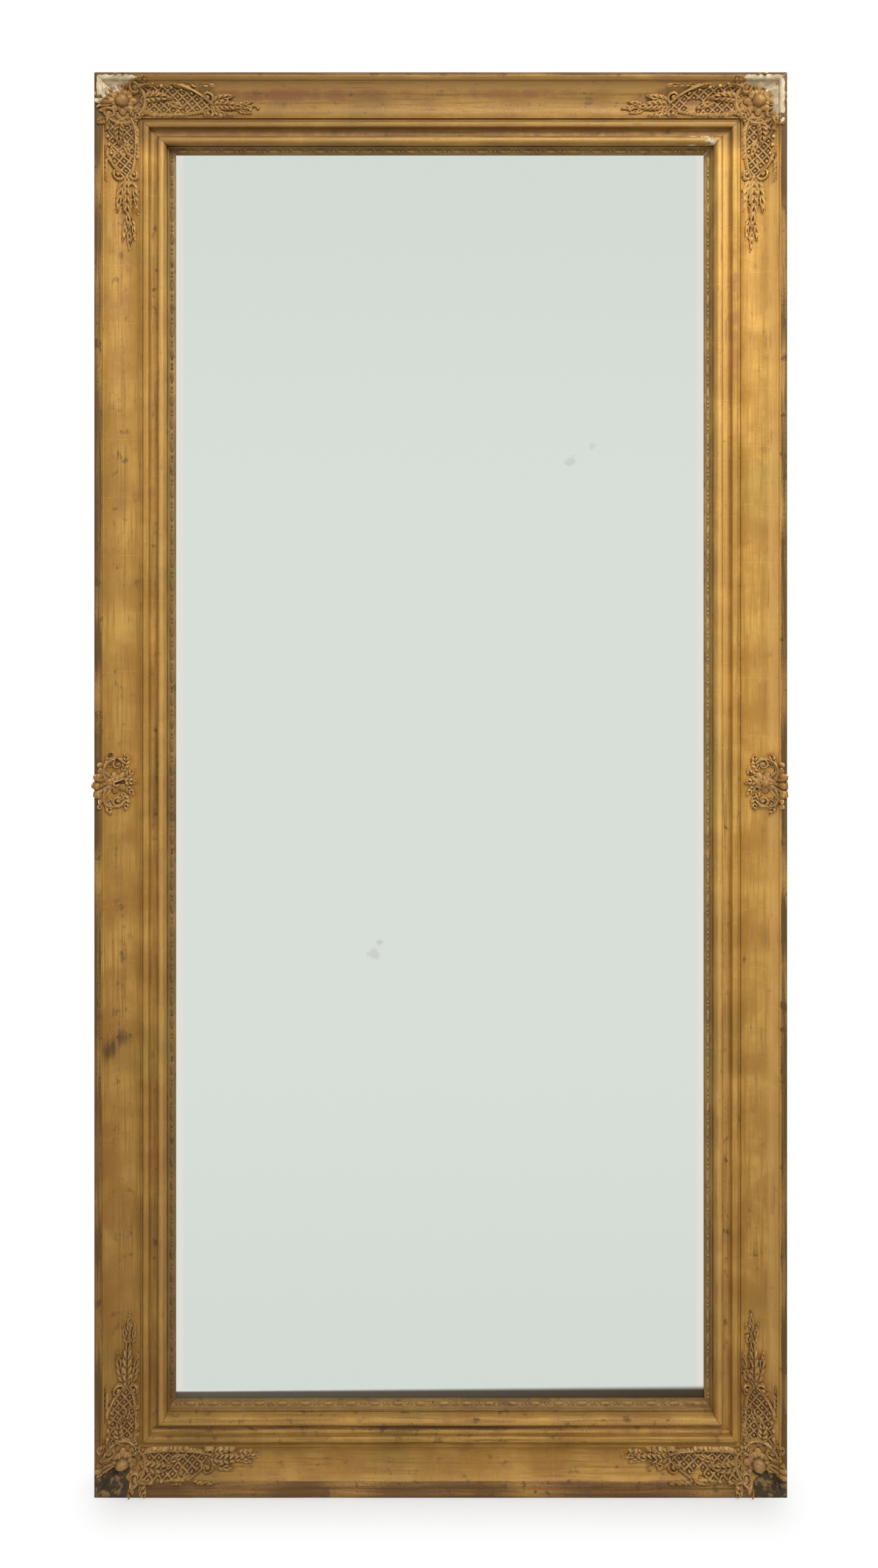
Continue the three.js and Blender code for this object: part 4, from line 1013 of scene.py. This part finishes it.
def shell_field(overhang):
    """The grid and heights of a side shell; x is the way along the stile and y the way out."""
    x, y = grid(-43, 43.1, 43, moulding_width + overhang - 0.3)
    reach, angle = np.hypot(x, y - FLOWER), np.arctan2(y - FLOWER, x)
    both = lambda make: mixed(make(x, y), make(-x, y))
    outwards = np.abs(angle - math.pi / 2)
    ribs = np.abs(np.cos(7 * outwards))
    inside = (outwards < 0.95) & (reach < 30 * (0.86 + 0.14 * ribs))
    fan = np.where(inside, (2.4 + 0.13 * reach) * (0.4 + 0.6 * ribs), 0)
    return x, y, mixed(
        fan,
        petals(reach, angle, 7, 15.5, 6.0, 0.3),
        petals(reach, angle, 7, 11, 7.6, 0.75),
        pearl(x, y, (0, FLOWER), 5.6, 0.0),
        both(lambda a, b: scroll(a, b, bend_through((8, 84), (26, 92), (38, 76), (26, 64)), 3.4, 2.4, 6.0)),
        both(lambda a, b: scroll(a, b, volute((24, 70), 7.5, -1.0, 1.2), 2.6, 1.6, 5.8)),
        both(lambda a, b: pearl(a, b, (24, 70), 3.2)),
        both(lambda a, b: leaf(a, b, ((14, 66), (26, 56), (39, 62)), 13, 6.2)),
        both(lambda a, b: leaf(a, b, ((20, 78), (32, 84), (42, 76)), 12, 5.8, 4)),
        both(lambda a, b: leaf(a, b, ((5, 64), (10, 54), (19, 49)), 11, 5.4, 4)),
        leaf(x, y, ((0, 66), (1.5, 56), (0, 45)), 13, 6.4, 4),
        both(lambda a, b: pearl(a, b, (13, moulding_width - 8.5), 4.0, 0.1)),
        both(lambda a, b: pearl(a, b, (27, moulding_width - 8.5), 3.4, 0.1)),
        pearl(x, y, (0, moulding_width - 7 + 0.6 * overhang), 4.6, 0.1),
    )


rosette = rosette_field()
shells = {"left": shell_field(3.0), "right": shell_field(0.0)}
print("rosette", rosette[2].shape, "highest", round(float(rosette[2].max()), 2), "mm")

# %% Laying a field on the moulding
def face_height(u):
    """Height of the cove moulding's face at u, out over the lip."""
    radius = np.where(u < cove_lowest, inner_arc, outer_arc)
    off = np.clip(u - cove_lowest, -COVE_INNER_RUN, COVE_OUTER_RUN)
    cove = COVE_FLOOR + radius - np.sqrt(radius**2 - off**2)
    over = np.clip(np.abs(u - lip_middle), 0, LIP_RADIUS - 0.4)
    lip = LIP_CENTRE + np.sqrt(LIP_RADIUS**2 - over**2)
    return np.where(u > cove_outer_edge + 0.5, lip, cove)


SPRAY_START = moulding_width - 62 - GAP  # where the spray leaves the corner casting
HIGHEST = BACK_Y - cad_box[0][1] - 0.00005  # no casting stands further forward than the solids do


def in_cove(x, y, lift):
    """A spray's grid laid in the cove: out past the sight edge along it, forwards, and out across it."""
    radius = np.where(y < inner_length, inner_arc, outer_arc)
    turn = (y - inner_length) / radius
    u = cove_lowest + (radius - lift) * np.sin(turn)
    v = COVE_FLOOR + radius - (radius - lift) * np.cos(turn)
    return SPRAY_START - x, v, u


def laid_down(x, y, lift):
    """A corner grid laid straight down on the two rails."""
    return x, face_height(np.maximum(x, y)) + lift, y


def on_stile(x, y, lift):
    """A shell's grid laid straight down on a stile; it gives its place along the stile last."""
    return y, face_height(y) + lift, x - SIGHT_Z / MM


def blurred(field, reach):
    """A field averaged over about reach grid cells each way."""
    weight = np.exp(-np.linspace(-2, 2, 2 * reach + 1) ** 2)
    weight /= weight.sum()
    wide = np.pad(field, reach, mode="edge")
    rows = sum(w * wide[i : i + field.shape[0]] for i, w in enumerate(weight))
    return sum(w * rows[:, i : i + field.shape[1]] for i, w in enumerate(weight))


THINNEST = 0.45  # mm: where a field is lower than this, the casting is left open


def casting(name, x, y, field, lay, swap, out, up, dirt, pale=0.0):
    """A closed casting from a field: its face, a foot just under the moulding's face, and walls between."""
    keep = field > THINNEST
    cells = keep[:-1, :-1] & keep[1:, :-1] & keep[1:, 1:] & keep[:-1, 1:]
    used = np.zeros_like(keep)
    for di in (0, 1):
        for dj in (0, 1):
            used[di : used.shape[0] - 1 + di, dj : used.shape[1] - 1 + dj] |= cells
    number = np.full(keep.shape, -1)
    number[used] = np.arange(used.sum())
    total = int(used.sum())
    spread = blurred(field, 4)
    # dust and painted shade in the casting's hollows and on its lowest parts; burnish and painted highlight
    # on its peaks
    dust = np.clip((spread - field) / 0.9, 0, 1) + 0.5 * ramp(field, 1.8, 0.6) + dirt
    peak_burnish_and_highlight = ramp(field - spread, 0.3, 1.1) * (1 - dirt)
    wear = np.clip(np.stack([dust, pale + 0 * field, 0 * field, peak_burnish_and_highlight], axis=-1), 0, 1)[used]
    rubbed = (0.25 * (0.5 + 0.5 * wander(x, y, 22, 7)))[used]
    layers = []
    for lift in (field, np.full_like(field, -0.6)):
        a, v, b = (part[used] * MM for part in lay(x, y, lift))
        v = np.minimum(v, HIGHEST)
        if swap:
            a, b = b, a
        layers.append(np.stack([out * (SIGHT_X + a), BACK_Y - v, up * (SIGHT_Z + b)], axis=1))
    points = np.concatenate(layers)
    i, j = np.nonzero(cells)
    quads = np.stack([number[i, j], number[i + 1, j], number[i + 1, j + 1], number[i, j + 1]], axis=1)
    edges = np.concatenate([quads[:, [k, (k + 1) % 4]] for k in range(4)])
    code = edges[:, 0].astype(np.int64) * total + edges[:, 1]
    back_code = edges[:, 1].astype(np.int64) * total + edges[:, 0]
    rim = edges[~np.isin(code, back_code)]
    walls = np.stack([rim[:, 1], rim[:, 0], rim[:, 0] + total, rim[:, 1] + total], axis=1)
    faces = np.concatenate([quads, quads[:, ::-1] + total, walls])
    corner = points[quads[:, :3]]
    facing = np.cross(corner[:, 1] - corner[:, 0], corner[:, 2] - corner[:, 0])[:, 1].sum()
    if facing > 0:  # the face has to look forwards, to -Y
        faces = faces[:, ::-1]
    grain = np.stack([x[used] + 40 * (swap + 2 * out + 4 * up), y[used]], axis=1) * MM
    twice = [np.concatenate([part, part]) for part in (grain, wear, rubbed)]
    mesh = mesh_of(name, points, faces.tolist(), *twice, 50)
    mesh.materials.append(ornament_gilt)
    piece = show(name, mesh)
    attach(piece, "frame")
    return piece


# %% [markdown]
# One mould makes all the rail sprays, one the stile sprays and one the four corners; age is what tells them
# apart. Each casting gets its own chips, cut by slow random values, and a corner casting stops where its
# shell broke off.

# %% Casting the corners and the shells
CASTING_DIRT = {"top_left": 0.05, "top_right": 0.0, "bottom_left": 0.28, "bottom_right": 0.25}  # as shares
for number, corner in enumerate(BROKEN):
    level, hand = corner.split("_")
    up, out = (1 if level == "top" else -1), (-1 if hand == "left" else 1)
    dirt = CASTING_DIRT[corner]
    for role, swap, (x, y, field) in (("rail", False, rail_spray), ("stile", True, stile_spray)):
        chips = ramp(wander(x, y, 12, 61 + 2 * number + swap), 0.66, 0.76) * ramp(x, 20, 60)
        name = role + "_spray_casting_" + corner
        piece = casting(name, x, y, field * (1 - chips), in_cove, swap, out, up, dirt)
        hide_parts(role + "_spray_" + corner)
    x, y, field = rosette
    gone_on_rail = loss_at(corner, True, moulding_width - x, y)
    gone = np.maximum(gone_on_rail, loss_at(corner, False, moulding_width - y, x))
    ragged = gone + 0.18 * wander(x, y, 6, 83 + number)
    pale = 0.55 * (level == "top") * ramp(x + y, 2 * BOSS + 2, 2 * BOSS + 34)
    field = field * ramp(ragged, 0.55, 0.35)
    piece = casting("rosette_casting_" + corner, x, y, field, laid_down, False, out, up, dirt, pale)
    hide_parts("rosette_" + corner)
for hand, out in (("left", -1), ("right", 1)):
    x, y, field = shells[hand]
    chips = ramp(wander(x, y, 9, 97 + out), 0.7, 0.8)
    field = field * (1 - 0.8 * chips)
    piece = casting("side_shell_casting_" + hand, x, y, field, on_stile, False, out, 1, 0.2)
    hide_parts("side_shell_" + hand)

# %% [markdown]
# ## The back
# Nine pine boards close the back, planed by hand, so their edges are eased and their faces not quite flat.
# Each is nailed twice at either end: a nail head repeats, so a tree puts one on every point. The hanging
# rings were bent from round wire, so each is a curve with a round bevel, closed through the knuckle of its
# strap.

# %% Backboards, nails and rings
NAIL_FOOT, NAIL_TOP = 0.0032, 0.0018  # metres: a nail head's radius at the board and at its top
NAIL_IN, NAIL_ROWS = 0.019, (0.22, 0.78)  # metres in from a board's end, and shares of its height
BOARD_SINK = 0.0005  # the boards' backs lie this far inside the wall plane, so that the nail heads reach it


def board(name, node, seed):
    """A backboard with eased edges and the faint waves of a hand plane on its back."""
    low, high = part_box(node)
    high = (high[0], high[1] - BOARD_SINK, high[2])
    solid = bmesh.new()
    bmesh.ops.create_cube(solid, size=1.0)
    for vert in solid.verts:
        vert.co = [low[i] if vert.co[i] < 0 else high[i] for i in range(3)]
    bmesh.ops.bevel(solid, geom=solid.edges[:], offset=0.0016, segments=2, affect="EDGES", profile=0.6)
    back = [face for face in solid.faces if face.normal.y > 0.9]
    rims = dict.fromkeys(edge for face in back for edge in face.edges if edge.calc_length() > 0.1)
    bmesh.ops.subdivide_edges(solid, edges=list(rims), cuts=40, use_grid_fill=True)
    for vert in solid.verts:
        inset = min(vert.co.x - low[0], high[0] - vert.co.x, vert.co.z - low[2], high[2] - vert.co.z)
        if vert.co.y > high[1] - 1e-5 and inset > 0.002:
            vert.co.y -= 0.0002 * (1 + math.sin(vert.co.z * 150 + seed + 2 * math.sin(vert.co.x * 7 + seed)))
    mesh = bpy.data.meshes.new(name)
    solid.to_mesh(mesh)
    solid.free()
    smoothed(mesh, 30)
    share = mesh.attributes.new("board", "FLOAT", "POINT")
    share.data.foreach_set("value", np.full(len(mesh.vertices), seed, dtype=np.float32))
    mesh.materials.append(board_pine)
    piece = show(name, mesh)
    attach(piece, "frame")
    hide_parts(node)


nails_at = []
for number in range(1, 10):
    node = "backboard_%d" % number
    board("planed_board_%d" % number, node, number * 1.7)
    low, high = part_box(node)
    for side in (-1, 1):
        for share in NAIL_ROWS:
            up = low[2] + share * (high[2] - low[2])
            nails_at.append((side * (high[0] - NAIL_IN), -BOARD_SINK, up))


def nail_tree():
    """Geometry Nodes: one cut nail's head on each point."""
    tree, given = new_tree("nail_heads", ("Radius", "Height"))
    cone = {"Radius Top": NAIL_TOP, "Radius Bottom": given["Radius"], "Depth": given["Height"]}
    head = add(tree, "GeometryNodeMeshCone", {"Vertices": 9, **cone})
    lie = moved(tree, head.outputs[0], Rotation=(-math.pi / 2, 0, 0))
    turn = add(tree, "FunctionNodeRandomValue", {"Min": (0, 0, 0), "Max": (0, 6.28, 0), "Seed": 5},
               data_type="FLOAT_VECTOR")
    laid = add(tree, "GeometryNodeInstanceOnPoints", {"Points": given["Geometry"], "Instance": lie,
               "Rotation": turn.outputs[0]})
    return end_tree(tree, laid.outputs[0], given["Finish"])


spots = bpy.data.meshes.new("nail_spots")
spots.from_pydata(nails_at, [], [])
nails = grown("nail_heads", show("nail_spots", spots), nail_tree(),
              {"Radius": NAIL_FOOT, "Height": BOARD_SINK, "Finish": iron})
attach(nails, "frame")
nail_y = [vert.co.y for vert in nails.data.vertices]
print("nails", len(nails_at), "lowest and highest y", [round(min(nail_y), 5), round(max(nail_y), 5)])

WIRE, HALF_WIDTH, LEG, BEND = 2.0, 17.0, 8.0, 4.0  # mm: a ring's wire radius, then its form
# metres: where a ring's knuckle has its axis
RING_AXIS = {"left": (-0.42375, -0.007, 0.56), "right": (0.42375, -0.007, 0.56)}
for hand, (rx, ry, rz) in RING_AXIS.items():
    way = [(k * (HALF_WIDTH - BEND), 0) for k in np.linspace(-1, 1, 8)]
    way += arc(HALF_WIDTH - BEND, -BEND, BEND, math.pi / 2, 0, 6)[1:]
    way += arc(0, -LEG, HALF_WIDTH, 0, -math.pi, 28)
    way += arc(BEND - HALF_WIDTH, -BEND, BEND, math.pi, math.pi / 2, 6)[:-1]
    wire = bpy.data.curves.new("ring_wire_" + hand, "CURVE")
    wire.dimensions = "3D"
    wire.bevel_depth = WIRE * MM
    wire.bevel_resolution = 3
    line = wire.splines.new("POLY")
    line.points.add(len(way) - 1)
    line.use_cyclic_u = True
    for point, (across, height) in zip(line.points, way):
        point.co = (rx + across * MM, ry, rz + height * MM, 1)
    drawn = show("ring_draft_" + hand, wire)
    mesh = frozen(drawn)
    smoothed(mesh)
    mesh.materials.clear()
    mesh.materials.append(iron)
    piece = show("bent_ring_" + hand, mesh)
    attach(piece, "ring_" + hand)
    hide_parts("hanging_ring_" + hand)
    print("ring", hand, len(mesh.polygons), "faces")

# %% [markdown]
# ## Studio
# A white room, a pale floor and one large soft lamp up in front, a little to the right. The photograph
# tells where: the coves are lit almost evenly, the right stile is brighter than the left, and the light
# falls off downwards. A weak lamp at the left keeps the left sides from going flat, and one behind lights
# the boards. The room is white to the camera. In the mirror it shows a little dimmer, as a wall behind the
# camera does. The floor keeps the shadow close to the foot of the mirror and fades to white further out.

# %% Floor, world and lamps
ROOM_IN_MIRROR = 0.78  # what the plate shows of the white room, before its own tint
DARK_ROOM = 0.36  # what the gold sees of the unlit sides of the room
FLOOR_GLOW = 0.52  # what it sees of the floor, which the lamp lights
SOFT_LIGHT = 0.44  # the room's own light on the mirror
FLOOR_REACH = 14.0  # metres from the middle to the floor's edge
SHADOW_HALF, SHADOW_Y, SHADOW_REACH = 0.40, 0.06, 0.09  # metres: the dark foot, and how far it fades
WHITE = (1, 1, 1, 1)


def studio_floor():
    """A pale floor that keeps the shadow at the mirror's foot and shows white away from it."""
    floor = Finish("studio_floor_paint")
    sum_of = floor.math
    rays = add(floor.tree, "ShaderNodeLightPath").outputs
    axes = add(floor.tree, "ShaderNodeSeparateXYZ", {0: floor.place}).outputs
    wide = sum_of("ABSOLUTE", axes["X"])
    beyond = sum_of("MAXIMUM", sum_of("SUBTRACT", wide, SHADOW_HALF), 0.0)
    ahead = sum_of("ABSOLUTE", sum_of("ADD", axes["Y"], SHADOW_Y))
    away = sum_of("SQRT", sum_of("ADD", sum_of("POWER", beyond, 2.0), sum_of("POWER", ahead, 2.0)))
    near = floor.span(away, SHADOW_REACH, 0.0, 0.0, 0.45)
    lane = sum_of("SUBTRACT", wide, sum_of("MULTIPLY", axes["Y"], -0.22))  # what the plate looks down on
    seen_glow = floor.even(lane, 0.46, 0.95, ROOM_IN_MIRROR, FLOOR_GLOW)

    def chosen(share, under, over):
        return floor.get("ShaderNodeMixShader", 0, {0: share, 1: under, 2: over})

    paint = floor.get("ShaderNodeBsdfDiffuse", 0, {"Color": ink("#CFCDC9")})
    white = floor.get("ShaderNodeEmission", 0, {"Color": WHITE, "Strength": 1.0})
    mirrored = floor.get("ShaderNodeEmission", 0, {"Color": WHITE, "Strength": seen_glow})
    dim = floor.get("ShaderNodeBsdfDiffuse", 0, {"Color": ink("#C6C2BA")})
    indirect = chosen(rays["Is Glossy Ray"], dim, mirrored)
    return floor.end(chosen(rays["Is Camera Ray"], indirect, chosen(near, white, paint)))


floor_mesh = bpy.data.meshes.new("studio_floor")
floor_corners = [(x * FLOOR_REACH, y * FLOOR_REACH, FLOOR_Z) for x, y in ((-1, -1), (1, -1), (1, 1), (-1, 1))]
floor_mesh.from_pydata(floor_corners, [], [(0, 1, 2, 3)])
floor_mesh.materials.append(studio_floor())
show("studio_floor", floor_mesh)


def studio_world():
    """A white room to the camera, dimmer in the mirror and on the gold, with a lit end and dark sides."""
    world = bpy.data.worlds.new("studio_world")
    world.use_nodes = True
    tree = world.node_tree
    tree.nodes.clear()
    rays = add(tree, "ShaderNodeLightPath").outputs
    seen = math_of(tree, "MAXIMUM", rays["Is Camera Ray"], rays["Is Transmission Ray"])
    way = add(tree, "ShaderNodeTexCoord").outputs["Generated"]
    axes = add(tree, "ShaderNodeSeparateXYZ", {0: way}).outputs
    room = span_of(tree, axes["Y"], -0.8, -0.96, DARK_ROOM, ROOM_IN_MIRROR)
    soft, mirrored, white = (
        add(tree, "ShaderNodeBackground", {"Color": WHITE, "Strength": strength}).outputs[0]
        for strength in (SOFT_LIGHT, room, 1.0))
    glossy = add(tree, "ShaderNodeMixShader", {0: rays["Is Glossy Ray"], 1: soft, 2: mirrored})
    final = add(tree, "ShaderNodeMixShader", {0: seen, 1: glossy.outputs[0], 2: white})
    add(tree, "ShaderNodeOutputWorld", {"Surface": final.outputs[0]})
    return world


def lamp(name, place, target, wide, tall, watts):
    """A soft rectangular lamp that faces target."""
    data = bpy.data.lights.new(name, "AREA")
    data.shape = "RECTANGLE"
    data.size = wide
    data.size_y = tall
    data.energy = watts
    light = bpy.data.objects.new(name, data)
    bpy.context.scene.collection.objects.link(light)
    light.location = place
    x, y, z = (t - p for t, p in zip(target, place))
    light.rotation_euler = (math.atan2(math.hypot(x, y), -z), 0, math.atan2(y, x) - math.pi / 2)


bpy.context.scene.world = studio_world()
lamp("key_lamp", (0.85, -2.15, 2.05), (0.2, 0, 0.3), 2.2, 0.9, 79)
lamp("fill_lamp", (-2.2, -1.7, 0.6), (0.2, 0, 0), 1.4, 1.4, 12)
lamp("back_lamp", (0.9, 2.6, 1.3), (0, 0, 0), 2.0, 1.4, 45)
bpy.context.scene.view_settings.view_transform = "Standard"
